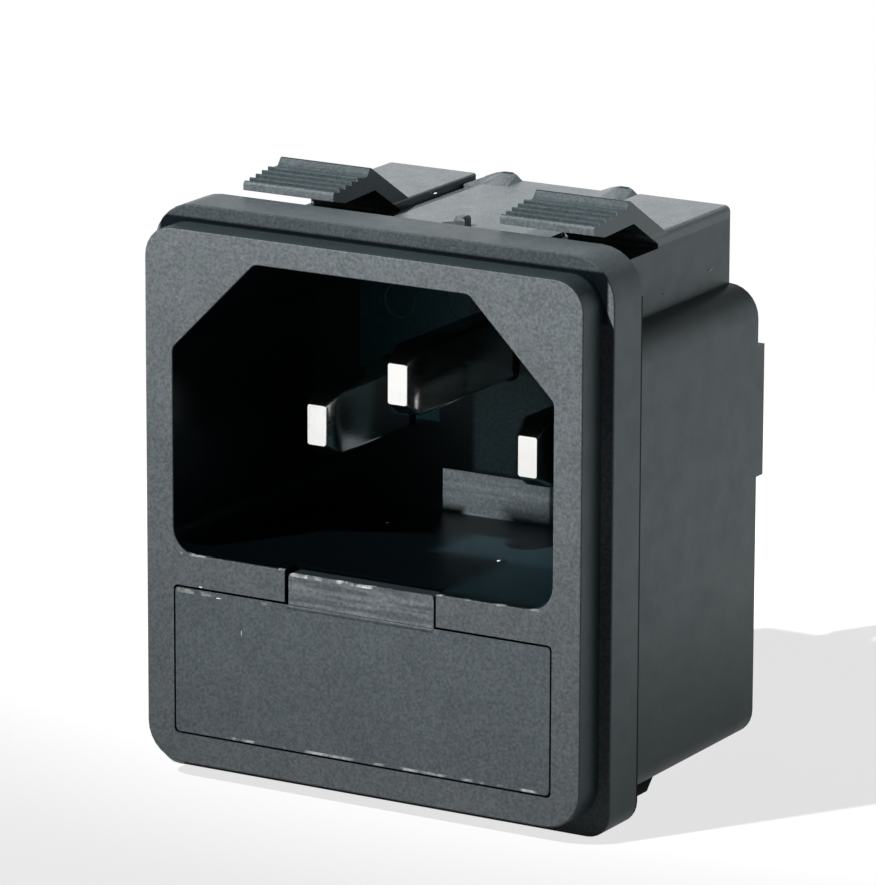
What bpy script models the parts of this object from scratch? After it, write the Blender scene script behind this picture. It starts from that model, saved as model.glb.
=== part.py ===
"""Snap-in mains inlet with a fuse drawer, modelled in metres with +Z up.

The module is built round its panel datum: Y = 0 is the plane where the flange meets the panel,
the cord enters along +Y, and Z = 0 is the flange's lower edge. The datum is an empty that
carries every piece and sets the whole module over the origin.
"""
import math

import bmesh
import bpy
from mathutils import Matrix, Vector

MM = 0.001

# Clearances and overlaps
GAP = 0.3 * MM
PIN_GAP = 0.25 * MM
EMBED = 1.0 * MM
OVERSHOOT = 1.0 * MM

# Flange and raised face, upwards from the flange's lower edge
LIP_BOTTOM = 0.68 * MM
BOTTOM_WALL = 2.0 * MM
DRAWER_HEIGHT = 8.3 * MM
FLOOR_WALL = 1.92 * MM
INLET_HEIGHT = 17.55 * MM
CROWN_WALL = 1.05 * MM
LIP_TOP = 1.43 * MM
FLANGE_THICKNESS = 3.24 * MM
FLANGE_LOW_CORNER = 1.5 * MM
FLANGE_HIGH_CORNER = 2.6 * MM
LEDGE_SIDE = 0.75 * MM
LEDGE_END = 0.93 * MM
FACE_PROUD = 2.2 * MM
FACE_LOW_CORNER = 2.2 * MM
FACE_HIGH_CORNER = 1.8 * MM
EDGE_ROUND = 0.1 * MM

# Body behind the panel
LIP_SIDE = 1.58 * MM
INLET_WALL = 1.0 * MM
SIDE_WALL = 1.0 * MM
BODY_CORNER = 1.6 * MM
SHOULDER_WIDTH = 1.95 * MM
SHOULDER_DROP = 4.58 * MM
SHOULDER_RADIUS = 1.9 * MM
BLOCK_STEP = 0.3 * MM
BLOCK_ROUND = 0.35 * MM
CROWN_EDGE_WIDTH = 1.2 * MM
CROWN_EDGE_DROP = 0.3 * MM
REAR_STEP = 0.8 * MM
TONGUE_INSET = 0.3 * MM
SIDE_TONGUE_DROP = 3.8 * MM
SIDE_TONGUE_HEIGHT = 7.85 * MM
HUMP_SPACING = 7.8 * MM
HUMP_SHIFT = 0.3 * MM
HUMP_CREST = 0.5 * MM
HUMP_NEAR_FLANK = 1.7 * MM
HUMP_FAR_FLANK = 0.8 * MM
HUMP_RISE = 0.45 * MM
HUMP_LENGTH = 2.4 * MM
NUB_WIDTH = 0.75 * MM
NUB_RISE = 0.62 * MM
NUB_SETBACK = 4.91 * MM
FLANK_SHARE = 0.8

# Snap latches on top and the fixed lugs below
LATCH_WIDTH = 6.1 * MM
LATCH_INSET = 0.03 * MM
LATCH_NOSE = 0.71 * MM
LATCH_PEAK = 4.86 * MM
LATCH_ROOT = 9.11 * MM
LATCH_WALL = 8.21 * MM
LATCH_RISE = 2.56 * MM
LATCH_BAND = 0.48 * MM
LATCH_LAND = 0.4 * MM
LATCH_ARM = 0.95 * MM
LATCH_RELIEF = 0.85 * MM
TOOTH_COUNT = 5
TOOTH_RISE = 0.14 * MM
TOOTH_FALL = 0.09 * MM
NOSE_ROUND = 0.2 * MM
NOSE_THICKNESS = 0.53 * MM
HEEL_SETBACK = 1.3 * MM
HEEL_DROP = 0.33 * MM
LUG_WIDTH = 5.6 * MM
LUG_START = 1.6 * MM
LUG_LENGTH = 6.4 * MM
LUG_FLAT = 4.0 * MM
LUG_DROP = 0.6 * MM

# Inlet cavity
INLET_WIDTH = 25.0 * MM
INLET_DEPTH = 15.95 * MM
INLET_CHAMFER = 5.5 * MM
INLET_CORNER = 1.5 * MM
INLET_CHAMFER_ROUND = 0.5 * MM
MOUTH_ROUND = 0.08 * MM
BACK_WALL = 2.0 * MM

# Contact pins
PIN_SPACING = 14.0 * MM
PIN_WIDTH = 2.0 * MM
PIN_HEIGHT = 4.0 * MM
PIN_ROUND = 0.4 * MM
PIN_TAPER = 1.3 * MM
PIN_TIP_WIDTH = 1.24 * MM
PIN_TIP_HEIGHT = 2.5 * MM
PIN_SETBACK = 6.8 * MM
EARTH_DROP = 6.92 * MM
EARTH_RISE = 3.9 * MM
EARTH_LEAD = 2.7 * MM
COLLAR_MARGIN = 0.6 * MM
COLLAR_LENGTH = 0.95 * MM
TAIL_WIDTH = 1.4 * MM
TAIL_HEIGHT = 2.4 * MM
HEAD_MARGIN = 0.55 * MM
HEAD_LENGTH = 0.4 * MM

# Rear terminals, strap and spring contacts
SHEET = 0.8 * MM
TAB_HEIGHT = 6.3 * MM
TAB_LENGTH = 8.0 * MM
TAB_TAPER = 1.4 * MM
TAB_TAPER_DEPTH = 0.98 * MM
TAB_HOLE_RADIUS = 0.85 * MM
TAB_HOLE_SETBACK = 3.4 * MM
TAB_OFFSET = 2.8 * MM
PLATE_MARGIN = 2.2 * MM
BEND_RADIUS = 0.4 * MM
STRAP_WIDTH = 4.4 * MM
STRAP_MARGIN = 2.6 * MM
LEAF_THICKNESS = 0.3 * MM
LEAF_BOW = 1.0 * MM
LEAF_HEIGHT = 6.0 * MM
LEAF_WIDTH = 3.6 * MM

# Rear chamber and its cover
REAR_ROOM = 3.7 * MM
COVER_THICKNESS = 1.5 * MM
COVER_LEDGE = 0.9 * MM
COVER_TOP_INSET = 2.1 * MM
COVER_MARK_RADIUS = 1.1 * MM
COVER_MARK_INSET = 3.3 * MM
COVER_MARK_DEPTH = 0.2 * MM
CHAMBER_CORNER = 0.6 * MM

# Fuses
FUSE_LENGTH = 20.0 * MM
FUSE_RADIUS = 2.6 * MM
CAP_LENGTH = 5.0 * MM
CAP_WALL = 0.3 * MM
CAP_EDGE = 0.25 * MM
TUBE_RADIUS = 2.05 * MM
TUBE_WALL = 0.55 * MM
WIRE_RADIUS = 0.2 * MM

# Fuse drawer
DRAWER_FRONT = 1.9 * MM
DRAWER_FLOOR = 1.1 * MM
DRAWER_CORNER = 0.25 * MM
DRAWER_LIP = 0.6 * MM
DRAWER_LIP_CLEARANCE = 1.5 * MM
DRAWER_LIP_RISE = 0.9 * MM
POCKET_WALL = 1.0 * MM
TAB_GRIP_WIDTH = 9.4 * MM
TAB_GRIP_THICKNESS = 1.0 * MM
TAB_GRIP_DROP = 0.55 * MM

# Roundness of turned and rounded forms
ARC_STEPS = 7
TURN_STEPS = 28
CORNER_LIMIT = 0.49

# Heights worked out from the sizes above
BODY_BOTTOM = LIP_BOTTOM
BAY_BOTTOM = BODY_BOTTOM + BOTTOM_WALL
BAY_TOP = BAY_BOTTOM + DRAWER_HEIGHT + 2 * GAP
INLET_BOTTOM = BAY_TOP + FLOOR_WALL
INLET_TOP = INLET_BOTTOM + INLET_HEIGHT
CROWN = INLET_TOP + CROWN_WALL
FLANGE_TOP = CROWN + LIP_TOP
BLOCK_TOP = CROWN + BLOCK_STEP
SHOULDER = BLOCK_TOP - SHOULDER_DROP
EARTH_ROW = INLET_TOP - EARTH_DROP
PIN_ROW = EARTH_ROW - EARTH_RISE
SIDE_TONGUE_START = PIN_ROW - SIDE_TONGUE_DROP
DRAWER_BOTTOM = BAY_BOTTOM + GAP
DRAWER_TOP = DRAWER_BOTTOM + DRAWER_HEIGHT
FUSE_HEIGHT = DRAWER_BOTTOM + DRAWER_FLOOR + GAP + FUSE_RADIUS

# Widths worked out from the sizes above
BODY_WIDTH = INLET_WIDTH + 2 * INLET_WALL
FLANGE_WIDTH = BODY_WIDTH + 2 * LIP_SIDE
BAY_WIDTH = BODY_WIDTH - 2 * SIDE_WALL
DRAWER_WIDTH = BAY_WIDTH - 2 * GAP
BLOCK_OUTER = BODY_WIDTH / 2 - SHOULDER_WIDTH
BLOCK_INNER = BLOCK_OUTER - LATCH_WIDTH
CONTACT_X = FUSE_LENGTH / 2 - CAP_LENGTH / 2

# Depths worked out from the sizes above
FACE_Y = -(FLANGE_THICKNESS + FACE_PROUD)
INLET_END = FACE_Y + INLET_DEPTH
CHAMBER_START = INLET_END + BACK_WALL
COVER_FRONT = CHAMBER_START + REAR_ROOM
COVER_BACK = COVER_FRONT + COVER_THICKNESS
BODY_END = COVER_BACK - REAR_STEP
COLLAR_START = CHAMBER_START + GAP
SHEET_START = COLLAR_START + COLLAR_LENGTH + GAP
SHEET_END = SHEET_START + SHEET
LEAF_BACK = SHEET_START - GAP
ACTIVE_FUSE_Y = LEAF_BACK - LEAF_BOW - GAP - FUSE_RADIUS
POCKET_RADIUS = FUSE_RADIUS + GAP
SPARE_FUSE_Y = FACE_Y + DRAWER_FRONT + POCKET_RADIUS
DRAWER_END = ACTIVE_FUSE_Y + POCKET_RADIUS + DRAWER_LIP
BAY_END = DRAWER_END + GAP
TAB_END = COVER_BACK + TAB_LENGTH
DATUM_Y = -(FACE_Y + TAB_END) / 2


def start_scene():
    """Clear the scene and return the collections for the pieces and for the cutters."""
    for old in list(bpy.data.objects):
        bpy.data.objects.remove(old, do_unlink=True)
    pieces = bpy.data.collections.new("power_entry_module")
    cutters = bpy.data.collections.new("cutters")
    bpy.context.scene.collection.children.link(pieces)
    bpy.context.scene.collection.children.link(cutters)
    return pieces, cutters


PIECES, CUTTERS = start_scene()
DATUM = bpy.data.objects.new("panel_datum", None)
DATUM.location = (0, DATUM_Y, 0)
PIECES.objects.link(DATUM)


def make_material(name, colour, roughness, metallic=0.0, alpha=1.0):
    """Return a Principled material."""
    material = bpy.data.materials.new(name)
    material.use_nodes = True
    shader = material.node_tree.nodes["Principled BSDF"]
    shader.inputs["Base Color"].default_value = (*colour, 1.0)
    shader.inputs["Roughness"].default_value = roughness
    shader.inputs["Metallic"].default_value = metallic
    shader.inputs["Alpha"].default_value = alpha
    return material


BLACK_PLASTIC = make_material("black_moulding", (0.105, 0.118, 0.128), 0.55)
DRAWER_PLASTIC = make_material("drawer_moulding", (0.10, 0.113, 0.122), 0.5)
PLATED = make_material("nickel_plate", (0.78, 0.77, 0.74), 0.22, metallic=1.0)
SPRING = make_material("spring_bronze", (0.72, 0.48, 0.27), 0.3, metallic=1.0)
CAP_METAL = make_material("fuse_cap_metal", (0.74, 0.74, 0.75), 0.25, metallic=1.0)
GLASS = make_material("fuse_glass", (0.9, 0.95, 0.95), 0.05, alpha=0.35)
WIRE_METAL = make_material("fuse_wire_metal", (0.6, 0.6, 0.58), 0.35, metallic=1.0)


def finish_mesh(name, mesh, shape):
    """Store a bmesh with its doubles merged and its faces pointing out."""
    bmesh.ops.remove_doubles(shape, verts=shape.verts, dist=1e-7)
    bmesh.ops.recalc_face_normals(shape, faces=shape.faces)
    shape.to_mesh(mesh)
    shape.free()
    mesh.name = name
    return mesh


def add_piece(name, mesh, material, smooth=False):
    """Add a finished mesh to the module as a named piece."""
    piece = bpy.data.objects.new(name, mesh)
    mesh.materials.append(material)
    PIECES.objects.link(piece)
    piece.parent = DATUM
    if smooth:
        mesh.shade_smooth()
        mesh.set_sharp_from_angle(angle=math.radians(35))
    return piece


def add_cutter(name, mesh):
    """Add a mesh that only shapes other pieces."""
    cutter = bpy.data.objects.new(name, mesh)
    CUTTERS.objects.link(cutter)
    cutter.parent = DATUM
    cutter.hide_render = True
    cutter.display_type = "WIRE"
    return cutter


def combine(piece, tool, operation):
    """Join a tool to a piece, or cut the piece with it."""
    boolean = piece.modifiers.new(tool.name, "BOOLEAN")
    boolean.operation = operation
    boolean.object = tool
    boolean.solver = "EXACT"


def join(piece, name, mesh):
    """Unite a mesh with a piece."""
    combine(piece, add_cutter(name, mesh), "UNION")


def cut(piece, name, mesh):
    """Take a mesh away from a piece."""
    combine(piece, add_cutter(name, mesh), "DIFFERENCE")


def box(name, low, high):
    """Return a box between two corners."""
    shape = bmesh.new()
    bmesh.ops.create_cube(shape, size=1.0)
    low, high = Vector(low), Vector(high)
    size = high - low
    middle = (high + low) / 2
    for vert in shape.verts:
        vert.co = Vector(a * b for a, b in zip(vert.co, size)) + middle
    return finish_mesh(name, bpy.data.meshes.new(name), shape)


def rounded_box(name, low, high, corners, edge=0.0, corner_steps=ARC_STEPS):
    """Return a box with round lower and upper corners seen along Y and a round edge at its front."""
    mesh = box(name, low, high)
    shape = bmesh.new()
    shape.from_mesh(mesh)
    front = min(vert.co.y for vert in shape.verts)
    middle = (low[2] + high[2]) / 2

    def runs_back(e):
        return abs(e.verts[0].co.y - e.verts[1].co.y) > EDGE_ROUND

    for upper, corner in enumerate(corners):
        sides = [e for e in shape.edges if runs_back(e) and (e.verts[0].co.z > middle) == bool(upper)]
        bmesh.ops.bevel(shape, geom=sides, offset=corner, segments=corner_steps, affect="EDGES", profile=0.5)
    if edge > 0:
        rim = [e for e in shape.edges if all(abs(v.co.y - front) < 1e-7 for v in e.verts)]
        bmesh.ops.bevel(shape, geom=rim, offset=edge, segments=3, affect="EDGES", profile=0.5)
    return finish_mesh(name, mesh, shape)


def arc(centre, radius, start, end, steps=ARC_STEPS):
    """Return points on an arc between two angles in degrees, ends included."""
    turns = [math.radians(start + (end - start) * i / steps) for i in range(steps + 1)]
    return [(centre[0] + radius * math.cos(t), centre[1] + radius * math.sin(t)) for t in turns]


def mirrored(half):
    """Return a closed outline from its right half, which runs from bottom to top."""
    return half + [(-u, v) for u, v in reversed(half)]


AXES = {
    "X": Matrix(((0, 0, 1, 0), (1, 0, 0, 0), (0, 1, 0, 0), (0, 0, 0, 1))),
    "Y": Matrix(((1, 0, 0, 0), (0, 0, -1, 0), (0, 1, 0, 0), (0, 0, 0, 1))),
    "Z": Matrix.Identity(4),
}


def extruded(name, outline, start, end, along):
    """Return a flat outline carried along an axis: (Y, Z) along X, (X, Z) along Y, (X, Y) along Z."""
    curve = bpy.data.curves.new(name, "CURVE")
    curve.dimensions = "2D"
    curve.fill_mode = "BOTH"
    curve.extrude = (end - start) / 2
    spline = curve.splines.new("POLY")
    spline.points.add(len(outline) - 1)
    for point, (u, v) in zip(spline.points, outline):
        point.co = (u, v, 0, 1)
    spline.use_cyclic_u = True
    guide = bpy.data.objects.new(name, curve)
    CUTTERS.objects.link(guide)
    evaluated = guide.evaluated_get(bpy.context.evaluated_depsgraph_get())
    mesh = bpy.data.meshes.new_from_object(evaluated)
    bpy.data.objects.remove(guide, do_unlink=True)
    shape = bmesh.new()
    shape.from_mesh(mesh)
    facing = -1 if along == "Y" else 1
    for vert in shape.verts:
        vert.co.z = facing * (end if facing * vert.co.z > 0 else start)
    shape.transform(AXES[along])
    return finish_mesh(name, mesh, shape)


def lofted(name, rings):
    """Return a closed skin over rings of equal point counts, given from front to back."""
    shape = bmesh.new()
    loops = [[shape.verts.new(point) for point in ring] for ring in rings]
    for near, far in zip(loops, loops[1:]):
        count = len(near)
        for i in range(count):
            j = (i + 1) % count
            shape.faces.new((near[i], near[j], far[j], far[i]))
    shape.faces.new(loops[0])
    shape.faces.new(loops[-1])
    return finish_mesh(name, bpy.data.meshes.new(name), shape)


def rounded_outline(centre, width, height, radius, steps=3):
    """Return a rectangle with round corners in the XZ plane, anticlockwise."""
    radius = min(radius, CORNER_LIMIT * width, CORNER_LIMIT * height)
    u = width / 2 - radius
    v = height / 2 - radius
    x, z = centre
    return (
        arc((x + u, z - v), radius, -90, 0, steps)
        + arc((x + u, z + v), radius, 0, 90, steps)
        + arc((x - u, z + v), radius, 90, 180, steps)
        + arc((x - u, z - v), radius, 180, 270, steps)
    )


def ring_at(outline, y):
    """Place a flat XZ outline at a depth."""
    return [(x, y, z) for x, z in outline]


def turned(name, profile, centre, closed=False):
    """Return a profile (radius, height) turned about an axis along X through a centre."""
    mesh = bpy.data.meshes.new(name)
    points = [(r, 0, h) for r, h in profile]
    edges = [(i, i + 1) for i in range(len(points) - 1)]
    if closed:
        edges.append((len(points) - 1, 0))
    mesh.from_pydata(points, edges, [])
    guide = bpy.data.objects.new(name, mesh)
    CUTTERS.objects.link(guide)
    screw = guide.modifiers.new("turn", "SCREW")
    screw.steps = TURN_STEPS
    screw.render_steps = TURN_STEPS
    screw.use_merge_vertices = True
    screw.merge_threshold = 1e-6
    evaluated = guide.evaluated_get(bpy.context.evaluated_depsgraph_get())
    solid = bpy.data.meshes.new_from_object(evaluated)
    bpy.data.objects.remove(guide, do_unlink=True)
    shape = bmesh.new()
    shape.from_mesh(solid)
    shape.transform(Matrix.Translation(centre) @ Matrix.Rotation(math.pi / 2, 4, "Y"))
    return finish_mesh(name, solid, shape)


def body_outline():
    """Return the body's section behind the flange, with the blocks that carry the snap latches."""
    half = BODY_WIDTH / 2
    corner = (half - BODY_CORNER, BODY_BOTTOM + BODY_CORNER)
    shoulder = (half - SHOULDER_RADIUS, SHOULDER - SHOULDER_RADIUS)
    outer_top = (BLOCK_OUTER - BLOCK_ROUND, BLOCK_TOP - BLOCK_ROUND)
    inner_round = BLOCK_ROUND / 3
    inner_top = (BLOCK_INNER + inner_round, BLOCK_TOP - inner_round)
    right = arc(corner, BODY_CORNER, -90, 0)
    right += arc(shoulder, SHOULDER_RADIUS, 0, 90)
    right += [(BLOCK_OUTER, SHOULDER)]
    right += arc(outer_top, BLOCK_ROUND, 0, 90, 4)
    right += arc(inner_top, inner_round, 90, 180, 2)
    right += [(BLOCK_INNER, CROWN - CROWN_EDGE_DROP), (BLOCK_INNER - CROWN_EDGE_WIDTH, CROWN)]
    return mirrored(right)


def latch_inside():
    """Return the slope of a latch's arm and the two ends of its inner face, in (Y, Z)."""
    slope = LATCH_RISE / (LATCH_ROOT - LATCH_PEAK)
    near = LATCH_PEAK + NOSE_THICKNESS
    near_height = BLOCK_TOP + LATCH_RISE - LATCH_ARM * math.hypot(1, slope) - slope * NOSE_THICKNESS
    far_height = near_height - slope * (LATCH_WALL - near)
    return slope, (near, near_height), (LATCH_WALL, far_height)


def relief_outline():
    """Return the side view of the hollow under a snap latch, in (Y, Z)."""
    slope, near, far = latch_inside()
    above = BLOCK_TOP + OVERSHOOT
    beyond = far[0] - (above - far[1]) / slope
    floor = BLOCK_TOP - LATCH_RELIEF
    return [(0, floor), (far[0], floor), far, (beyond, above), (0, above)]


def latch_outline():
    """Return the side view of a snap latch's arm, toothed catch and nose, in (Y, Z)."""
    slope, near, far = latch_inside()
    peak_top = BLOCK_TOP + LATCH_RISE
    band_foot = peak_top - LATCH_BAND
    first = LATCH_PEAK - 2 * LATCH_LAND
    pitch = (first - LATCH_NOSE) / TOOTH_COUNT
    ease = NOSE_ROUND / 3
    teeth = [(LATCH_PEAK - LATCH_LAND, band_foot)]
    for i in range(TOOTH_COUNT):
        foot = (first - i * pitch, band_foot - i * TOOTH_FALL)
        crest = foot[1] + TOOTH_RISE
        teeth += [foot, (foot[0] - pitch + ease, crest), (foot[0] - pitch, crest - ease)]
    teeth = teeth[:-2]
    nose_top = band_foot - (TOOTH_COUNT - 1) * TOOTH_FALL + TOOTH_RISE
    nose = arc((LATCH_NOSE + NOSE_ROUND, nose_top - NOSE_ROUND), NOSE_ROUND, 90, 180, 4)
    nose_foot = (LATCH_NOSE, nose_top - NOSE_THICKNESS)
    heel = (LATCH_NOSE + HEEL_SETBACK, nose_foot[1] - HEEL_DROP)
    embed_end = (LATCH_ROOT + EMBED, BLOCK_TOP - slope * EMBED)
    peak = [(LATCH_PEAK + ease, peak_top - slope * ease), (LATCH_PEAK - ease, peak_top - ease)]
    root_end = (far[0] + EMBED, far[1] - slope * EMBED)
    return [embed_end, *peak, *teeth, *nose, nose_foot, heel, near, root_end]


def lug_outline():
    """Return the side view of a fixed lug under the body, in (Y, Z)."""
    foot = BODY_BOTTOM - LUG_DROP
    back = LUG_START + LUG_LENGTH
    inside = BODY_BOTTOM + EMBED
    under = [(LUG_START, foot), (LUG_START + LUG_FLAT, foot)]
    return [(LUG_START, inside), *under, (back, BODY_BOTTOM), (back, inside)]


def inlet_outline(offset):
    """Return the inlet's six-sided outline, moved outwards by an offset."""
    half = INLET_WIDTH / 2 + offset
    low = INLET_BOTTOM - offset
    top = INLET_TOP + offset
    leg = INLET_CHAMFER + offset * (2 - math.sqrt(2))
    radius = INLET_CORNER + offset
    turn = INLET_CHAMFER_ROUND + offset
    reach = turn * math.tan(math.radians(22.5))
    side = (half - turn, top - leg - reach)
    crest = (half - leg - reach, top - turn)
    right = arc((half - radius, low + radius), radius, -90, 0)
    right += arc(side, turn, 0, 45, 3)
    right += arc(crest, turn, 45, 90, 3)
    return mirrored(right)


def inlet_cavity():
    """Return the inlet's cavity with a rounded mouth."""
    rings = [ring_at(inlet_outline(MOUTH_ROUND), FACE_Y - OVERSHOOT)]
    for i in range(4):
        turn = math.radians(30 * i)
        outward = MOUTH_ROUND * (1 - math.sin(turn))
        inward = MOUTH_ROUND * (1 - math.cos(turn))
        rings.append(ring_at(inlet_outline(outward), FACE_Y + inward))
    rings.append(ring_at(inlet_outline(0.0), INLET_END))
    return lofted("inlet_cavity", rings)


def cover_outline(offset):
    """Return the rear opening's outline, made larger by an offset."""
    half = BAY_WIDTH / 2 - GAP + offset
    top_half = half - COVER_TOP_INSET
    low = BAY_BOTTOM + GAP - offset
    step = SHOULDER - SHOULDER_RADIUS - GAP + offset
    top = INLET_TOP - 2 * GAP + offset
    radius = CHAMBER_CORNER
    right = arc((half - radius, low + radius), radius, -90, 0, 3)
    right += arc((half - radius, step - radius), radius, 0, 90, 3)
    right += [(top_half, step)]
    right += arc((top_half - radius, top - radius), radius, 0, 90, 3)
    return mirrored(right)


def hump(side):
    """Return a low hump on the crown's rear edge that rises out of it like a ramp."""
    crest = side * HUMP_SPACING / 2 + HUMP_SHIFT
    near = crest - HUMP_CREST / 2
    far = crest + HUMP_CREST / 2
    end = COVER_BACK - GAP / 3
    rings = []
    for y, rise in ((end - HUMP_LENGTH, -GAP / 3), (end, HUMP_RISE)):
        top = CROWN + rise
        flank = CROWN - GAP / 3
        foot = CROWN - EMBED / 2
        shoulder = flank + FLANK_SHARE * (top - flank)
        outline = [(near - HUMP_NEAR_FLANK, foot), (far + HUMP_FAR_FLANK, foot)]
        outline += [(far + HUMP_FAR_FLANK, flank), (far + HUMP_FAR_FLANK / 3, shoulder), (far, top)]
        outline += [(near, top), (near - HUMP_NEAR_FLANK / 3, shoulder), (near - HUMP_NEAR_FLANK, flank)]
        rings.append(ring_at(outline, y))
    return lofted(f"hump_{side}", rings)


def gate_nub():
    """Return the stepped stub that the moulding gate leaves on the crown."""
    foot = CROWN - EMBED / 2
    top = CROWN + NUB_RISE
    ease = (1 - FLANK_SHARE) * NUB_WIDTH
    outline = [(-NUB_WIDTH, foot), (NUB_WIDTH, foot), (NUB_WIDTH, CROWN + FLANK_SHARE * NUB_RISE)]
    outline += [(NUB_WIDTH - ease, top), (ease, top), (0, CROWN + NUB_RISE / 2)]
    outline += [(-NUB_WIDTH, CROWN + NUB_RISE / 3)]
    return extruded("gate_nub", outline, NUB_SETBACK, NUB_SETBACK + NUB_WIDTH, "Y")


def build_housing():
    """Model the housing: flange, raised face, body, snap latches, inlet and drawer bay."""
    half = FLANGE_WIDTH / 2
    face_half = half - LEDGE_SIDE
    low = (-half, -FLANGE_THICKNESS, 0)
    high = (half, 0, FLANGE_TOP)
    mesh = rounded_box("housing", low, high, (FLANGE_LOW_CORNER, FLANGE_HIGH_CORNER), EDGE_ROUND)
    housing = add_piece("housing", mesh, BLACK_PLASTIC)
    face_low = (-face_half, FACE_Y, LEDGE_END)
    face_high = (face_half, -FLANGE_THICKNESS + EMBED, FLANGE_TOP - LEDGE_END)
    corners = (FACE_LOW_CORNER, FACE_HIGH_CORNER)
    join(housing, "face", rounded_box("face", face_low, face_high, corners, EDGE_ROUND))
    join(housing, "body", extruded("body", body_outline(), -EMBED, COVER_BACK, "Y"))
    for side in (-1, 1):
        clear = sorted((side * (BLOCK_INNER - LATCH_INSET), side * (BLOCK_OUTER + OVERSHOOT)))
        cut(housing, f"relief_{side}", extruded("relief", relief_outline(), *clear, "X"))
        arm = sorted((side * (BLOCK_INNER + LATCH_INSET), side * (BLOCK_OUTER - LATCH_INSET)))
        join(housing, f"latch_{side}", extruded("latch", latch_outline(), *arm, "X"))
        lug_edge = BODY_WIDTH / 2 - BODY_CORNER
        lug_low = min(side * lug_edge, side * (lug_edge - LUG_WIDTH))
        join(housing, f"lug_{side}", extruded("lug", lug_outline(), lug_low, lug_low + LUG_WIDTH, "X"))
        join(housing, f"hump_{side}", hump(side))
    join(housing, "gate_nub", gate_nub())
    cut_rear_steps(housing)
    cut(housing, "inlet", inlet_cavity())
    bay = BAY_WIDTH / 2
    bay_low = (-bay, FACE_Y - OVERSHOOT, BAY_BOTTOM)
    bay_high = (bay, BAY_END, BAY_TOP)
    bay_corners = (DRAWER_CORNER, DRAWER_CORNER)
    cut(housing, "drawer_bay", rounded_box("drawer_bay", bay_low, bay_high, bay_corners, 0.0, 2))
    notch = TAB_GRIP_WIDTH / 2 + GAP
    notch_end = FACE_Y + TAB_GRIP_THICKNESS + GAP
    notch_low = (-notch, FACE_Y - OVERSHOOT, BAY_TOP - GAP)
    cut(housing, "grip_notch", box("grip_notch", notch_low, (notch, notch_end, INLET_BOTTOM + GAP)))
    chamber = extruded("rear_chamber", cover_outline(GAP - COVER_LEDGE), CHAMBER_START, COVER_FRONT, "Y")
    cut(housing, "rear_chamber", chamber)
    seat = extruded("cover_seat", cover_outline(GAP), COVER_FRONT - GAP, COVER_BACK + OVERSHOOT, "Y")
    cut(housing, "cover_seat", seat)
    cut_bay_to_chamber(housing)
    for name, x, z in pin_places():
        width = PIN_WIDTH + 2 * PIN_GAP
        height = PIN_HEIGHT + 2 * PIN_GAP
        outline = rounded_outline((x, z), width, height, PIN_ROUND + PIN_GAP)
        hole = extruded("hole", outline, INLET_END - OVERSHOOT, CHAMBER_START + OVERSHOOT, "Y")
        cut(housing, f"{name}_hole", hole)
    return housing


def cut_rear_steps(housing):
    """Shorten the body's rear except for its three tongues: one above, one on each side."""
    far = FLANGE_WIDTH
    step_end = COVER_BACK + OVERSHOOT
    tongue_top = SIDE_TONGUE_START + SIDE_TONGUE_HEIGHT
    tongue = BLOCK_INNER - TONGUE_INSET
    cut(housing, "rear_below", box("rear_below", (-far, BODY_END, -far), (far, step_end, SIDE_TONGUE_START)))
    for side in (-1, 1):
        inner = min(side * tongue, side * far)
        low = (inner, BODY_END, tongue_top)
        high = (inner + far - tongue, step_end, FLANGE_TOP + far)
        cut(housing, f"rear_above_{side}", box("rear_above", low, high))


def cut_bay_to_chamber(housing):
    """Open the drawer bay into the rear chamber, inside the cover's ledge."""
    half = BAY_WIDTH / 2 - COVER_LEDGE
    low = (-half, BAY_END - OVERSHOOT, BAY_BOTTOM + COVER_LEDGE)
    cut(housing, "bay_mouth", box("bay_mouth", low, (half, CHAMBER_START + OVERSHOOT, BAY_TOP)))


def pin_places():
    """Return each pin's name and its place in the inlet, seen from the front."""
    return (
        ("line_pin", -PIN_SPACING / 2, PIN_ROW),
        ("neutral_pin", PIN_SPACING / 2, PIN_ROW),
        ("earth_pin", 0.0, EARTH_ROW),
    )


def build_pin(name, x, z, lead):
    """Model a pin: tapered blade, collar behind the wall, and a peened tail."""
    tip = FACE_Y + PIN_SETBACK - lead
    collar_end = COLLAR_START + COLLAR_LENGTH
    head_start = SHEET_END + GAP
    collar = (PIN_WIDTH + 2 * COLLAR_MARGIN, PIN_HEIGHT + 2 * COLLAR_MARGIN)
    head = (TAIL_WIDTH + 2 * HEAD_MARGIN, TAIL_HEIGHT + 2 * HEAD_MARGIN)
    sections = (
        (tip, PIN_TIP_WIDTH, PIN_TIP_HEIGHT),
        (tip + PIN_TAPER, PIN_WIDTH, PIN_HEIGHT),
        (COLLAR_START, PIN_WIDTH, PIN_HEIGHT),
        (COLLAR_START, *collar),
        (collar_end, *collar),
        (collar_end, TAIL_WIDTH, TAIL_HEIGHT),
        (head_start, TAIL_WIDTH, TAIL_HEIGHT),
        (head_start, *head),
        (head_start + HEAD_LENGTH, *head),
    )
    rings = [ring_at(rounded_outline((x, z), w, h, PIN_ROUND), y) for y, w, h in sections]
    return add_piece(name, lofted(name, rings), PLATED)


def tail_slot(name, x, z):
    """Return the cutter for a pin's tail through a sheet."""
    outline = rounded_outline((x, z), TAIL_WIDTH + 2 * PIN_GAP, TAIL_HEIGHT + 2 * PIN_GAP, PIN_ROUND)
    return extruded(name, outline, SHEET_START - OVERSHOOT, SHEET_END + OVERSHOOT, "Y")


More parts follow.
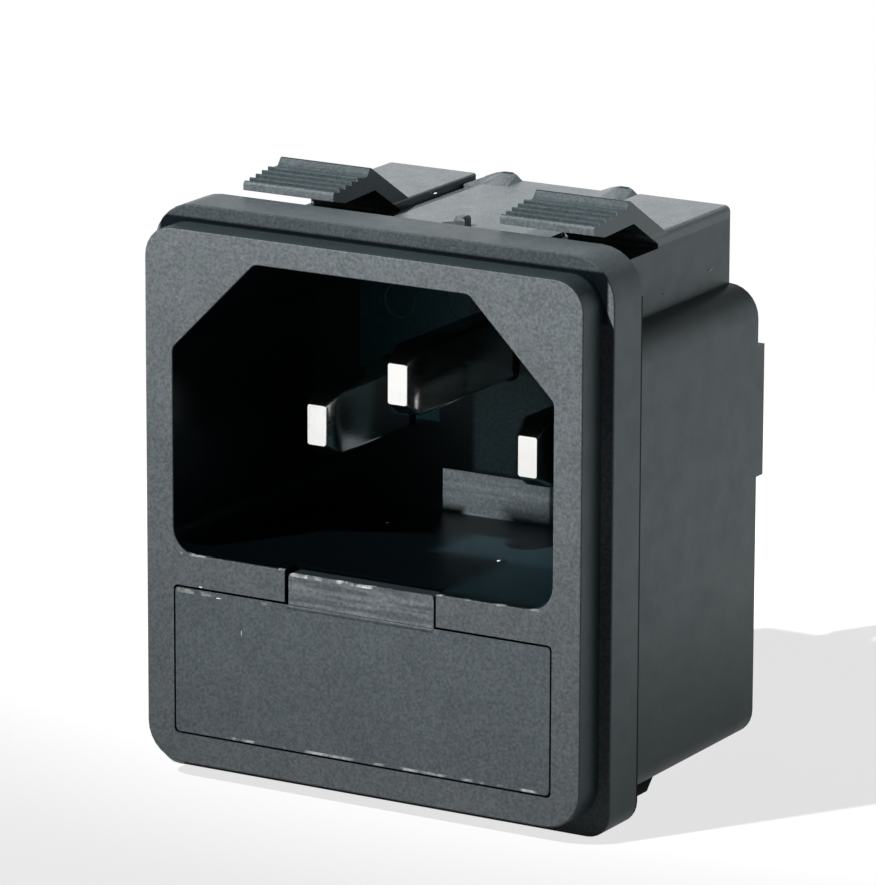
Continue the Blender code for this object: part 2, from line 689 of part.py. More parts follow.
def terminal_outline(x, side, far_edge):
    """Return a terminal's plan: a plate behind the pin and a tab bent rearwards."""
    tab_x = x + side * TAB_OFFSET
    near = tab_x - side * SHEET / 2
    far = tab_x + side * SHEET / 2
    bend = []
    for turn in range(ARC_STEPS + 1):
        angle = math.radians(90 * turn / ARC_STEPS)
        u = near - side * BEND_RADIUS * (1 - math.sin(angle))
        bend.append((u, SHEET_END + BEND_RADIUS * (1 - math.cos(angle))))
    outline = [(far_edge, SHEET_START), (far_edge, SHEET_END)]
    outline += bend + [(near, TAB_END), (far, TAB_END), (far, SHEET_START)]
    return outline


def shape_tab(piece, x, side, z):
    """Taper a terminal tab's end and pierce its locking hole."""
    tab_x = x + side * TAB_OFFSET
    half = TAB_HEIGHT / 2
    taper_start = TAB_END - TAB_TAPER
    for turn in (-1, 1):
        edge = z + turn * half
        outline = [(taper_start, edge), (TAB_END + GAP, edge - turn * TAB_TAPER_DEPTH)]
        outline += [(TAB_END + GAP, edge + turn * OVERSHOOT), (taper_start, edge + turn * OVERSHOOT)]
        name = f"{piece.name}_taper_{turn}"
        cut(piece, name, extruded(name, outline, tab_x - SHEET, tab_x + SHEET, "X"))
    hole = arc((TAB_END - TAB_HOLE_SETBACK, z), TAB_HOLE_RADIUS, 0, 360, 20)[:-1]
    cut(piece, f"{piece.name}_hole", extruded("tab_hole", hole, tab_x - SHEET, tab_x + SHEET, "X"))


def build_terminal(name, x, z, side, slotted):
    """Model a quick-connect terminal in folded sheet."""
    far_edge = x - side * PLATE_MARGIN
    outline = terminal_outline(x, side, far_edge)
    mesh = extruded(name, outline, z - TAB_HEIGHT / 2, z + TAB_HEIGHT / 2, "Z")
    terminal = add_piece(name, mesh, PLATED)
    if slotted:
        cut(terminal, f"{name}_slot", tail_slot(f"{name}_slot", x, z))
    shape_tab(terminal, x, side, z)
    return terminal


def build_strap():
    """Model the flat strap from the line pin down to the first fuse contact."""
    x = -PIN_SPACING / 2
    low = FUSE_HEIGHT - LEAF_HEIGHT / 2 - GAP
    high = PIN_ROW + STRAP_MARGIN
    outline = rounded_outline((x, (low + high) / 2), STRAP_WIDTH, high - low, STRAP_MARGIN / 2, 4)
    strap = add_piece("line_strap", extruded("line_strap", outline, SHEET_START, SHEET_END, "Y"), PLATED)
    cut(strap, "line_strap_slot", tail_slot("line_strap_slot", x, PIN_ROW))
    return strap


def leaf_outline():
    """Return the side view of a bowed spring contact, in (Y, Z)."""
    steps = 2 * ARC_STEPS
    half = LEAF_HEIGHT / 2
    front, back = [], []
    for i in range(steps + 1):
        height = -half + LEAF_HEIGHT * i / steps
        bow = (LEAF_BOW - LEAF_THICKNESS) * math.cos(math.pi * height / LEAF_HEIGHT)
        back.append((LEAF_BACK - bow, FUSE_HEIGHT + height))
        front.append((LEAF_BACK - LEAF_THICKNESS - bow, FUSE_HEIGHT + height))
    return front + back[::-1]


def build_contacts():
    """Model the two spring contacts that press on the active fuse's caps."""
    for name, side in (("fuse_contact_left", -1), ("fuse_contact_right", 1)):
        middle = side * CONTACT_X
        mesh = extruded(name, leaf_outline(), middle - LEAF_WIDTH / 2, middle + LEAF_WIDTH / 2, "X")
        add_piece(name, mesh, SPRING, smooth=True)


def build_cover():
    """Model the rear cover with its terminal slots and moulding marks."""
    mesh = extruded("rear_cover", cover_outline(0.0), COVER_FRONT, COVER_BACK, "Y")
    cover = add_piece("rear_cover", mesh, BLACK_PLASTIC)
    through = (COVER_FRONT - OVERSHOOT, COVER_BACK + OVERSHOOT)
    for name, x, z, side in terminal_places():
        tab_x = x + side * TAB_OFFSET
        low = (tab_x - SHEET / 2 - PIN_GAP, through[0], z - TAB_HEIGHT / 2 - PIN_GAP)
        high = (tab_x + SHEET / 2 + PIN_GAP, through[1], z + TAB_HEIGHT / 2 + PIN_GAP)
        cut(cover, f"{name}_opening", box("opening", low, high))
    mark_x = BAY_WIDTH / 2 - COVER_MARK_INSET
    heights = (BAY_BOTTOM + COVER_MARK_INSET, SHOULDER - SHOULDER_RADIUS - COVER_MARK_INSET)
    for side in (-1, 1):
        for row, height in enumerate(heights):
            circle = arc((side * mark_x, height), COVER_MARK_RADIUS, 0, 360, 20)[:-1]
            name = f"mark_{side}_{row}"
            cut(cover, name, extruded(name, circle, COVER_BACK - COVER_MARK_DEPTH, through[1], "Y"))
    return cover


def terminal_places():
    """Return each terminal's name, the centre of its plate and the side its tab is bent to."""
    return (
        ("neutral_terminal", PIN_SPACING / 2, PIN_ROW, -1),
        ("earth_terminal", 0.0, EARTH_ROW, -1),
        ("fused_terminal", PIN_SPACING / 2, FUSE_HEIGHT, -1),
    )


def build_terminals():
    """Model the three rear terminals. The fused one sits on a spring contact, not on a pin."""
    for name, x, z, side in terminal_places():
        build_terminal(name, x, z, side, slotted=name != "fused_terminal")


def fuse_cutter(name, y, top):
    """Return the pocket of a fuse that is laid in from above."""
    steps = 2 * ARC_STEPS
    outline = arc((y, FUSE_HEIGHT), POCKET_RADIUS, 180, 360, steps)
    outline += [(y + POCKET_RADIUS, top), (y - POCKET_RADIUS, top)]
    half = FUSE_LENGTH / 2 + GAP
    return extruded(name, outline, -half, half, "X")


def build_drawer():
    """Model the fuse drawer: flush front with its grip tab, spare pocket and active seat."""
    half = DRAWER_WIDTH / 2
    low = (-half, FACE_Y, DRAWER_BOTTOM)
    high = (half, DRAWER_END, DRAWER_TOP)
    corners = (DRAWER_CORNER, DRAWER_CORNER)
    mesh = rounded_box("fuse_drawer", low, high, corners, EDGE_ROUND / 3, 2)
    drawer = add_piece("fuse_drawer", mesh, DRAWER_PLASTIC)
    grip = TAB_GRIP_WIDTH / 2
    grip_low = (-grip, FACE_Y + EDGE_ROUND / 6, DRAWER_TOP - EMBED)
    grip_high = (grip, FACE_Y + TAB_GRIP_THICKNESS, INLET_BOTTOM - TAB_GRIP_DROP)
    join(drawer, "grip_tab", rounded_box("grip_tab", grip_low, grip_high, corners, 0.0, 2))
    above = DRAWER_TOP + OVERSHOOT
    cut(drawer, "spare_pocket", fuse_cutter("spare_pocket", SPARE_FUSE_Y, above))
    cut(drawer, "active_pocket", fuse_cutter("active_pocket", ACTIVE_FUSE_Y, above))
    lip = CONTACT_X - LEAF_WIDTH / 2 - DRAWER_LIP_CLEARANCE
    contact_y = ACTIVE_FUSE_Y + FUSE_RADIUS / 2
    far = (half + OVERSHOOT, DRAWER_END + OVERSHOOT, above)
    for side in (-1, 1):
        x_low = min(side * lip, side * far[0])
        side_low = (x_low, contact_y, DRAWER_BOTTOM - OVERSHOOT)
        side_high = (x_low + far[0] - lip, far[1], far[2])
        cut(drawer, f"contact_side_{side}", box("contact_side", side_low, side_high))
    lip_low = (-half - OVERSHOOT, ACTIVE_FUSE_Y, FUSE_HEIGHT + DRAWER_LIP_RISE)
    cut(drawer, "lip_top", box("lip_top", lip_low, (half + OVERSHOOT, far[1], above)))
    core_start = SPARE_FUSE_Y + POCKET_RADIUS + POCKET_WALL
    core_end = ACTIVE_FUSE_Y - POCKET_RADIUS - POCKET_WALL
    for side in (-1, 1):
        x_inner = side * POCKET_WALL / 2
        x_outer = side * (half - POCKET_WALL)
        core_low = (min(x_inner, x_outer), core_start, DRAWER_BOTTOM + DRAWER_FLOOR)
        core_high = (max(x_inner, x_outer), core_end, above)
        cut(drawer, f"core_{side}", box("core", core_low, core_high))
    set_origin(drawer, (0, FACE_Y, (DRAWER_BOTTOM + DRAWER_TOP) / 2))
    return drawer


def set_origin(piece, point):
    """Move a piece's origin to a point on its slide, leaving its shape where it is."""
    piece.data.transform(Matrix.Translation(-Vector(point)))
    piece.location = point


def cap_profile():
    """Return half of a fuse cap's section as (radius, height), closed end on top."""
    inner = FUSE_RADIUS - CAP_WALL
    top = CAP_LENGTH
    return [
        (0, top),
        (FUSE_RADIUS - CAP_EDGE, top),
        (FUSE_RADIUS, top - CAP_EDGE),
        (FUSE_RADIUS, 0),
        (inner, 0),
        (inner, top - CAP_WALL),
        (0, top - CAP_WALL),
    ]


def build_fuse(prefix, y):
    """Model a cartridge fuse across the drawer: two caps, a glass tube and its wire."""
    base = FUSE_LENGTH / 2 - CAP_LENGTH
    for name, side in (("left", -1), ("right", 1)):
        profile = [(r, side * (base + h)) for r, h in cap_profile()]
        if side < 0:
            profile = profile[::-1]
        cap = turned(f"{prefix}_cap_{name}", profile, (0, y, FUSE_HEIGHT))
        add_piece(f"{prefix}_cap_{name}", cap, CAP_METAL, smooth=True)
    reach = FUSE_LENGTH / 2 - CAP_WALL - GAP
    bore = TUBE_RADIUS - TUBE_WALL
    section = [(TUBE_RADIUS, reach), (TUBE_RADIUS, -reach), (bore, -reach), (bore, reach)]
    tube = turned(f"{prefix}_tube", section, (0, y, FUSE_HEIGHT), closed=True)
    add_piece(f"{prefix}_tube", tube, GLASS, smooth=True)
    thread = [(0, reach), (WIRE_RADIUS, reach), (WIRE_RADIUS, -reach), (0, -reach)]
    wire = turned(f"{prefix}_wire", thread, (0, y, FUSE_HEIGHT))
    add_piece(f"{prefix}_wire", wire, WIRE_METAL, smooth=True)


def main():
    """Build every piece of the module."""
    build_housing()
    build_cover()
    build_drawer()
    for name, x, z in pin_places():
        build_pin(name, x, z, EARTH_LEAD if name == "earth_pin" else 0.0)
    build_strap()
    build_terminals()
    build_contacts()
    build_fuse("active_fuse", ACTIVE_FUSE_Y)
    build_fuse("spare_fuse", SPARE_FUSE_Y)


main()
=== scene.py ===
"""The looks of a snap-in mains inlet: its skins, finishes and studio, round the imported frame.

Lengths are in millimetres until a mesh is written. Places are given in the panel's frame: X to the
right seen from the front, Y into the panel and Z upwards, from a point in the middle of the flange.
"""
import logging
import math
from dataclasses import dataclass
from enum import Enum

import bmesh
import bpy
import numpy as np
from mathutils import Matrix, Vector


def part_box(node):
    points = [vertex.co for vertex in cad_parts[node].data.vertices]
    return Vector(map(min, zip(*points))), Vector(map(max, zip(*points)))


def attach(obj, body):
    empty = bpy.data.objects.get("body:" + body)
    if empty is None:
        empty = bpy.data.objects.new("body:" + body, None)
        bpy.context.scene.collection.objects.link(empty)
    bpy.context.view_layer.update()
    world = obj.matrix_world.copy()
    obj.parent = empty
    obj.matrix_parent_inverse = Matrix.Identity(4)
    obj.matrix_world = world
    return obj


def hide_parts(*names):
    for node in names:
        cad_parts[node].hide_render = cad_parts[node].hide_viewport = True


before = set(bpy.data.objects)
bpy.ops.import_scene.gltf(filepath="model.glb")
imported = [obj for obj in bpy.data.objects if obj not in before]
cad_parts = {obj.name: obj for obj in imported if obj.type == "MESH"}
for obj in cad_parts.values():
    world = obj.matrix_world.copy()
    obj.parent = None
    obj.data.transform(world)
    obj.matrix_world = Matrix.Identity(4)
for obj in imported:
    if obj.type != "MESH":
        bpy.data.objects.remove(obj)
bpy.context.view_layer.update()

LOG = logging.getLogger("mains_inlet")
MM = 0.001
# Depths of the raised face and of the inlet's back wall, and the height of the flange's foot
FACE = -5.05
BACK_WALL = 10.9
FLANGE_FOOT = -16.88
# Where the panel's frame starts in the world
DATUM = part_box("housing")[0][1] / MM - FACE
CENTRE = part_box("housing")[0][2] / MM - FLANGE_FOOT
ORIGIN = np.array((0.0, DATUM, CENTRE))

Colour = tuple[float, float, float]
Point = tuple[float, float, float]
Span = tuple[float, float]
Socket = bpy.types.NodeSocket

# Most of a noise's values lie between these two
NOISE_LOW = 0.3
NOISE_HIGH = 0.7
# The normal's squared Y part, on the way from a wall to a face
FACING_SPAN: Span = (0.45, 0.9)
# The thin layers that hold the face, the inlet's back wall and its floor
FACE_LAYER: Span = (-5.2, -4.9)
WALL_LAYER: Span = (10.7, 11.1)
FLOOR_LAYER: Span = (-3.7, -3.3)


class Part(Enum):
    """The two bodies that the pieces ride on."""

    MODULE = "module"
    DRAWER = "drawer"


class WearAndLightPattern(Enum):
    """How a patch of another tone lies on a surface, for real wear and for painted light alike."""

    EVEN = "even"
    STREAKED = "streaked"
    CHAFED = "chafed"


# Finishes, whose tones hold some painted light and shade


@dataclass(frozen=True)
class Nodes:
    """A small helper round the node tree of one material or of the world."""

    owner: bpy.types.Material | bpy.types.World

    def add(self, kind: str, **inputs: object) -> bpy.types.Node:
        """Add a node and set its named inputs.

        Args:
            kind: the node's type name.
            **inputs: values by input name, with underscores for blanks.

        Returns:
            The new node.
        """
        node = self.owner.node_tree.nodes.new(kind)
        for name, value in inputs.items():
            node.inputs[name.replace("_", " ")].default_value = value
        return node

    def link(self, source: Socket, target: Socket) -> None:
        """Join two sockets."""
        self.owner.node_tree.links.new(source, target)

    def coordinates(self) -> Socket:
        """Return the object coordinates, in metres."""
        return self.add("ShaderNodeTexCoord").outputs["Object"]

    def noise(self, size_mm: float, detail: float = 2.0, stretch: Point = (1, 1, 1)) -> Socket:
        """Add a noise whose features are about a given size.

        Args:
            size_mm: the size of one feature, in millimetres.
            detail: how many finer layers it carries.
            stretch: how many times finer it is along each axis.

        Returns:
            The noise's value, from 0 to 1.
        """
        mapping = self.add("ShaderNodeMapping", Scale=stretch)
        self.link(self.coordinates(), mapping.inputs["Vector"])
        noise = self.add("ShaderNodeTexNoise", Scale=1.0 / MM / size_mm, Detail=detail)
        self.link(mapping.outputs["Vector"], noise.inputs["Vector"])
        return noise.outputs["Fac"]

    def spread(self, value: Socket, low: Span, high: Span) -> Socket:
        """Map a value's range onto another one.

        Args:
            value: the socket to map.
            low: the input and output at the lower end.
            high: the input and output at the upper end.

        Returns:
            The mapped value, held between its ends.
        """
        ends = {"From_Min": low[0], "To_Min": low[1], "From_Max": high[0], "To_Max": high[1]}
        ramp = self.add("ShaderNodeMapRange", **ends)
        self.link(value, ramp.inputs["Value"])
        return ramp.outputs["Result"]

    def rise(self, value: Socket, start: float, end: float) -> Socket:
        """Return 0 up to the start and 1 from the end on, with a ramp between them."""
        return self.spread(value, (start, 0.0), (end, 1.0))

    def grade(self, factor: Socket, first: float, second: float) -> Socket:
        """Return the first number where the factor is 0 and the second where it is 1."""
        return self.spread(factor, (0.0, first), (1.0, second))

    def vary(self, noise: Socket, low: float, high: float) -> Socket:
        """Return a noise with its usual values mapped onto another range."""
        return self.spread(noise, (NOISE_LOW, low), (NOISE_HIGH, high))

    def blend(self, factor: Socket, first: object, second: object) -> Socket:
        """Return a colour between two.

        Args:
            factor: 0 for the first colour and 1 for the second.
            first: a colour, or a socket that carries one.
            second: a colour, or a socket that carries one.

        Returns:
            The mixed colour's socket.
        """
        mix = self.owner.node_tree.nodes.new("ShaderNodeMix")
        mix.data_type = "RGBA"
        self.link(factor, mix.inputs["Factor"])
        for socket, colour in zip((mix.inputs[6], mix.inputs[7]), (first, second)):
            if isinstance(colour, Socket):
                self.link(colour, socket)
            else:
                socket.default_value = (*colour, 1.0)
        return mix.outputs[2]

    def operate(self, kind: str, first: Socket, second: object) -> Socket:
        """Return one sum, product or other result of two values.

        Args:
            kind: the operation's name.
            first: the first value.
            second: the second value, a socket or a number.

        Returns:
            The result's socket.
        """
        node = self.add("ShaderNodeMath")
        node.operation = kind
        self.link(first, node.inputs[0])
        if isinstance(second, Socket):
            self.link(second, node.inputs[1])
        else:
            node.inputs[1].default_value = second
        return node.outputs[0]

    def on_vector(self, kind: str, vector: Socket, other: Point = (0, 0, 0)) -> Socket:
        """Return a vector after one vector operation with a constant."""
        node = self.add("ShaderNodeVectorMath")
        node.operation = kind
        self.link(vector, node.inputs[0])
        node.inputs[1].default_value = other
        return node.outputs[0]

    def scale(self, colour: Socket, factor: Socket) -> Socket:
        """Return a colour made lighter or darker by a factor."""
        node = self.add("ShaderNodeVectorMath")
        node.operation = "SCALE"
        self.link(colour, node.inputs[0])
        self.link(factor, node.inputs["Scale"])
        return node.outputs[0]

    def times(self, first: Socket, second: object) -> Socket:
        """Return the product of two values."""
        return self.operate("MULTIPLY", first, second)

    def plus(self, first: Socket, second: object) -> Socket:
        """Return the sum of two values."""
        return self.operate("ADD", first, second)

    def most(self, first: Socket, second: object) -> Socket:
        """Return the larger of two values."""
        return self.operate("MAXIMUM", first, second)

    def least(self, first: Socket, second: object) -> Socket:
        """Return the smaller of two values."""
        return self.operate("MINIMUM", first, second)

    def facing(self) -> Socket:
        """Return 1 on faces square to the Y axis and 0 on faces along it."""
        parts = self.add("ShaderNodeSeparateXYZ")
        self.link(self.add("ShaderNodeNewGeometry").outputs["Normal"], parts.inputs[0])
        return self.rise(self.times(parts.outputs[1], parts.outputs[1]), *FACING_SPAN)

    def bump(self, height: Socket, depth_mm: float) -> Socket:
        """Turn a height from 0 to 1 into a normal that is bumped by a depth in millimetres."""
        bump = self.add("ShaderNodeBump", Strength=1.0, Distance=depth_mm * MM)
        self.link(height, bump.inputs["Height"])
        return bump.outputs["Normal"]

    def mix_shaders(self, factor: Socket, first: Socket, second: Socket) -> Socket:
        """Return the first shader where the factor is 0 and the second where it is 1."""
        mix = self.add("ShaderNodeMixShader")
        self.link(factor, mix.inputs["Fac"])
        self.link(first, mix.inputs[1])
        self.link(second, mix.inputs[2])
        return mix.outputs["Shader"]


def new_material(name: str) -> tuple[Nodes, bpy.types.Node]:
    """Make a node material with a Principled shader.

    Args:
        name: the material's name.

    Returns:
        The material's node helper and its shader.
    """
    material = bpy.data.materials.new(name)
    material.use_nodes = True
    return Nodes(material), material.node_tree.nodes["Principled BSDF"]


@dataclass(frozen=True)
class Zone:
    """A box in the panel's frame, in millimetres."""

    low: Point
    high: Point

    def mask(self, nodes: Nodes, soft: float = 0.02) -> Socket:
        """Return 1 within the box and 0 outside it.

        Args:
            nodes: the material's node helper.
            soft: the width of the border, in millimetres.

        Returns:
            A ramp over the largest of the three distances beyond the box's faces.
        """
        low, high = np.array(self.low) + ORIGIN, np.array(self.high) + ORIGIN
        offset = nodes.on_vector("SUBTRACT", nodes.coordinates(), tuple((low + high) / 2 * MM))
        distance = nodes.on_vector("ABSOLUTE", offset)
        beyond = nodes.on_vector("SUBTRACT", distance, tuple((high - low) / 2 * MM))
        parts = nodes.add("ShaderNodeSeparateXYZ")
        nodes.link(beyond, parts.inputs[0])
        farthest = nodes.most(nodes.most(parts.outputs[0], parts.outputs[1]), parts.outputs[2])
        return nodes.spread(farthest, (0.0, 1.0), (soft * MM, 0.0))


@dataclass(frozen=True)
class Patch:
    """A zone whose tone differs, for real wear and for painted light and shade alike."""

    zone: Zone
    tone: Colour
    wear: WearAndLightPattern = WearAndLightPattern.EVEN
    soft: float = 0.02
    strength: float = 1.0
    streak_mm: float = 0.9
    streak_stretch: Point = (0.25, 1.0, 3.0)
    streak_span: Span = (0.42, 0.72)
    chafe_mm: float = 1.1
    chafe_span: Span = (0.5, 0.64)

    def factor(self, nodes: Nodes) -> Socket:
        """Return how much of the patch's tone shows: all, or only streaks or broken marks."""
        mask = nodes.times(self.zone.mask(nodes, self.soft), self.strength)
        if self.wear is WearAndLightPattern.STREAKED:
            streaks = nodes.noise(self.streak_mm, 4.0, stretch=self.streak_stretch)
            return nodes.times(mask, nodes.rise(streaks, *self.streak_span))
        if self.wear is WearAndLightPattern.CHAFED:
            return nodes.times(mask, nodes.rise(nodes.noise(self.chafe_mm, 3.0), *self.chafe_span))
        return mask


@dataclass(frozen=True)
class MouldedPlastic:
    """Black moulding compound.

    Faces square to the mould's opening are spark-eroded with grain, and their pale tone is partly painted
    light;
    walls along it are drawn smooth and dark, and cored hollows are polished, their nearly black tone painted
    shade.
    """

    name: str
    # Face tones: the grain and the mottle between the two tones are real, and the paleness is partly painted
    # light
    face: Colour = (0.09, 0.104, 0.107)
    face_other: Colour = (0.095, 0.102, 0.111)
    wall: Colour = (0.011, 0.016, 0.018)
    # Nearly black tone of the cored hollows: painted shade
    hollow_shade: Colour = (0.0008, 0.0015, 0.002)
    tint: Colour = (0.66, 0.95, 1.0)
    face_roughness: float = 0.55
    wall_roughness: float = 0.42
    core_roughness: float = 0.3
    polish: float = -0.16
    smear_mm: float = 1.3
    smear: Span = (-0.03, 0.04)
    grain_mm: float = 0.17
    grain_depth_mm: float = 0.02
    grain_shade: Span = (0.75, 1.25)
    wall_grain: float = 0.15
    core_grain: float = 0.1
    mottle_mm: float = 0.5
    mottle_span: Span = (0.4, 0.6)
    cloud_mm: float = 3.0
    cloud_shade: Span = (0.94, 1.06)
    wall_level: float = 0.5
    face_level: float = 0.14
    core_level: float = 0.27
    polished: tuple[Zone, ...] = ()
    matte: tuple[tuple[Zone, float], ...] = ()
    # Zones whose nearly black tone is painted shade; they are polished as well
    shaded_hollows: tuple[Zone, ...] = ()
    patches: tuple[Patch, ...] = ()

    def within(self, nodes: Nodes, zones: tuple[Zone, ...]) -> Socket:
        """Return 1 within any of the zones."""
        total = zones[0].mask(nodes)
        for zone in zones[1:]:
            total = nodes.most(total, zone.mask(nodes))
        return total

    def tone(self, nodes: Nodes, facing: Socket, hollow_shade: Socket | None) -> Socket:
        """Lay the tones over each other: walls, faces, the hollows' painted shade, then the patches.

        Args:
            nodes: the material's node helper.
            facing: 1 on faces and 0 on walls.
            hollow_shade: 1 in the hollows painted in shade, or None where there are none.

        Returns:
            The colour's socket.
        """
        mottle = nodes.rise(nodes.noise(self.mottle_mm, 2.0), *self.mottle_span)
        tone = nodes.blend(facing, self.wall, nodes.blend(mottle, self.face, self.face_other))
        if hollow_shade is not None:
            tone = nodes.blend(hollow_shade, tone, self.hollow_shade)
        for patch in self.patches:
            tone = nodes.blend(patch.factor(nodes), tone, patch.tone)
        return tone

    def roughness(self, nodes: Nodes, facing: Socket, hollow_shade: Socket | None) -> Socket:
        """Return the roughness: walls and faces, smears, polished parts, then cores."""
        roughness = nodes.grade(facing, self.wall_roughness, self.face_roughness)
        roughness = nodes.plus(roughness, nodes.vary(nodes.noise(self.smear_mm, 3.0), *self.smear))
        if self.polished:
            change = nodes.times(self.within(nodes, self.polished), self.polish)
            roughness = nodes.plus(roughness, change)
        if hollow_shade is not None:
            roughness = nodes.least(roughness, nodes.grade(hollow_shade, 1.0, self.core_roughness))
        return roughness

    def level(self, nodes: Nodes, facing: Socket, hollow_shade: Socket | None) -> Socket:
        """Return how strongly the surface mirrors: walls and faces, cores, then the matte zones."""
        level = nodes.grade(facing, self.wall_level, self.face_level)
        if hollow_shade is not None:
            level = nodes.least(level, nodes.grade(hollow_shade, 1.0, self.core_level))
        for zone, lowered in self.matte:
            level = nodes.least(level, nodes.grade(zone.mask(nodes), 1.0, lowered))
        return level

    def material(self) -> bpy.types.Material:
        """Build the node material."""
        nodes, shader = new_material(self.name)
        facing = nodes.facing()
        hollow_shade = self.within(nodes, self.shaded_hollows) if self.shaded_hollows else None
        grain = nodes.noise(self.grain_mm, 2.0)
        cloud = nodes.vary(nodes.noise(self.cloud_mm, 3.0), *self.cloud_shade)
        shade = nodes.times(nodes.vary(grain, *self.grain_shade), cloud)
        colour = nodes.scale(self.tone(nodes, facing, hollow_shade), shade)
        height = nodes.times(grain, nodes.grade(facing, self.wall_grain, 1.0))
        if hollow_shade is not None:
            height = nodes.times(height, nodes.grade(hollow_shade, 1.0, self.core_grain))
        nodes.link(colour, shader.inputs["Base Color"])
        nodes.link(self.roughness(nodes, facing, hollow_shade), shader.inputs["Roughness"])
        nodes.link(self.level(nodes, facing, hollow_shade), shader.inputs["Specular IOR Level"])
        shader.inputs["Specular Tint"].default_value = (*self.tint, 1.0)
        nodes.link(nodes.bump(height, self.grain_depth_mm), shader.inputs["Normal"])
        return nodes.owner


@dataclass(frozen=True)
class PlatedMetal:
    """Plated brass or bronze strip with a fine drawn grain."""

    name: str
    colour: Colour = (0.97, 0.97, 0.94)
    dulled: float = 0.93
    # Painted shade: tone factor on faces along Y, against 1 on faces square to it
    side_shade: float = 1.0
    blotch_mm: float = 1.1
    blotch_span: Span = (0.4, 0.65)
    roughness: float = 0.16
    roughness_change: Span = (-0.04, 0.08)
    drawn_mm: float = 0.5
    drawn_stretch: Point = (4.0, 0.4, 4.0)
    drawn_depth_mm: float = 0.0015

    def material(self) -> bpy.types.Material:
        """Build the node material."""
        nodes, shader = new_material(self.name)
        shader.inputs["Metallic"].default_value = 1.0
        dull = tuple(self.dulled * c for c in self.colour)
        blotches = nodes.rise(nodes.noise(self.blotch_mm, 4.0), *self.blotch_span)
        tone = nodes.blend(blotches, self.colour, dull)
        shade = nodes.grade(nodes.facing(), self.side_shade, 1.0)
        nodes.link(nodes.scale(tone, shade), shader.inputs["Base Color"])
        drawn = nodes.noise(self.drawn_mm, 3.0, stretch=self.drawn_stretch)
        low, high = (self.roughness + change for change in self.roughness_change)
        nodes.link(nodes.vary(drawn, low, high), shader.inputs["Roughness"])
        nodes.link(nodes.bump(drawn, self.drawn_depth_mm), shader.inputs["Normal"])
        return nodes.owner


@dataclass(frozen=True)
class ClearGlass:
    """The clear tube of a cartridge fuse."""

    name: str
    colour: Colour = (0.93, 0.97, 0.96)
    index: float = 1.48
    haze_mm: float = 2.0
    haze: Span = (0.02, 0.08)

    def material(self) -> bpy.types.Material:
        """Build the node material."""
        nodes, shader = new_material(self.name)
        shader.inputs["Base Color"].default_value = (*self.colour, 1.0)
        shader.inputs["Transmission Weight"].default_value = 1.0
        shader.inputs["IOR"].default_value = self.index
        nodes.link(nodes.vary(nodes.noise(self.haze_mm), *self.haze), shader.inputs["Roughness"])
        return nodes.owner


@dataclass(frozen=True)
class Dust:
    """Pale lint and chalky specks."""

    name: str
    colour: Colour = (0.62, 0.64, 0.62)
    dark: Colour = (0.35, 0.37, 0.36)
    lint_mm: float = 0.1
    lint_span: Span = (0.35, 0.65)
    roughness: float = 0.9

    def material(self) -> bpy.types.Material:
        """Build the node material."""
        nodes, shader = new_material(self.name)
        lint = nodes.rise(nodes.noise(self.lint_mm), *self.lint_span)
        nodes.link(nodes.blend(lint, self.colour, self.dark), shader.inputs["Base Color"])
        shader.inputs["Roughness"].default_value = self.roughness
        return nodes.owner


# Surfaces


def placed(points: np.ndarray) -> np.ndarray:
    """Return points of the panel's frame, in millimetres, as world points in metres."""
    return (points + ORIGIN) * MM


def new_object(name: str, data: bpy.types.ID) -> bpy.types.Object:
    """Make an object of a mesh, lamp or camera, and link it to the scene."""
    item = bpy.data.objects.new(name, data)
    bpy.context.scene.collection.objects.link(item)
    return item


def rounded_rectangle(
    width: np.ndarray, height: np.ndarray, radius: np.ndarray, steps: int = 6
) -> np.ndarray:
    """Return rectangles with round corners, one for each entry of the sizes.

    A point at the angle t lies at the corner's centre plus the radius along t, and each quadrant of t
    has the corner's centre of its own quadrant.

    Args:
        width: the widths.
        height: the heights.
        radius: the corners' radii.
        steps: how many spans each corner has.

    Returns:
        An array of rectangles by points by two coordinates.
    """
    quadrant = np.repeat(np.arange(4), steps + 1)
    turn = np.radians(90.0 * quadrant + np.tile(np.linspace(0.0, 90.0, steps + 1), 4))
    side = np.where((quadrant == 0) | (quadrant == 3), 1.0, -1.0)
    rise = np.where(quadrant < 2, 1.0, -1.0)
    width, height, radius = (np.asarray(size, float)[:, None] for size in (width, height, radius))
    across = side * (width / 2 - radius) + radius * np.cos(turn)
    upwards = rise * (height / 2 - radius) + radius * np.sin(turn)
    return np.stack((across, upwards), axis=-1)


def ring_faces(rings: int, count: int, looped: bool) -> np.ndarray:
    """Return the quads of a skin over closed rings.

    Point j of ring i has the index i times the count plus j. Each quad joins it to point j + 1 and to
    the same two points of ring i + 1, where the last point, and in a loop the last ring, meets the first.

    Args:
        rings: how many rings there are.
        count: how many points each ring has.
        looped: whether the last ring joins the first.

    Returns:
        An array of four indices for each quad.
    """
    i, j = np.meshgrid(np.arange(rings if looped else rings - 1), np.arange(count), indexing="ij")
    k, n = (j + 1) % count, (i + 1) % rings
    quads = (i * count + j, i * count + k, n * count + k, n * count + j)
    return np.stack(quads, axis=-1).reshape(-1, 4)


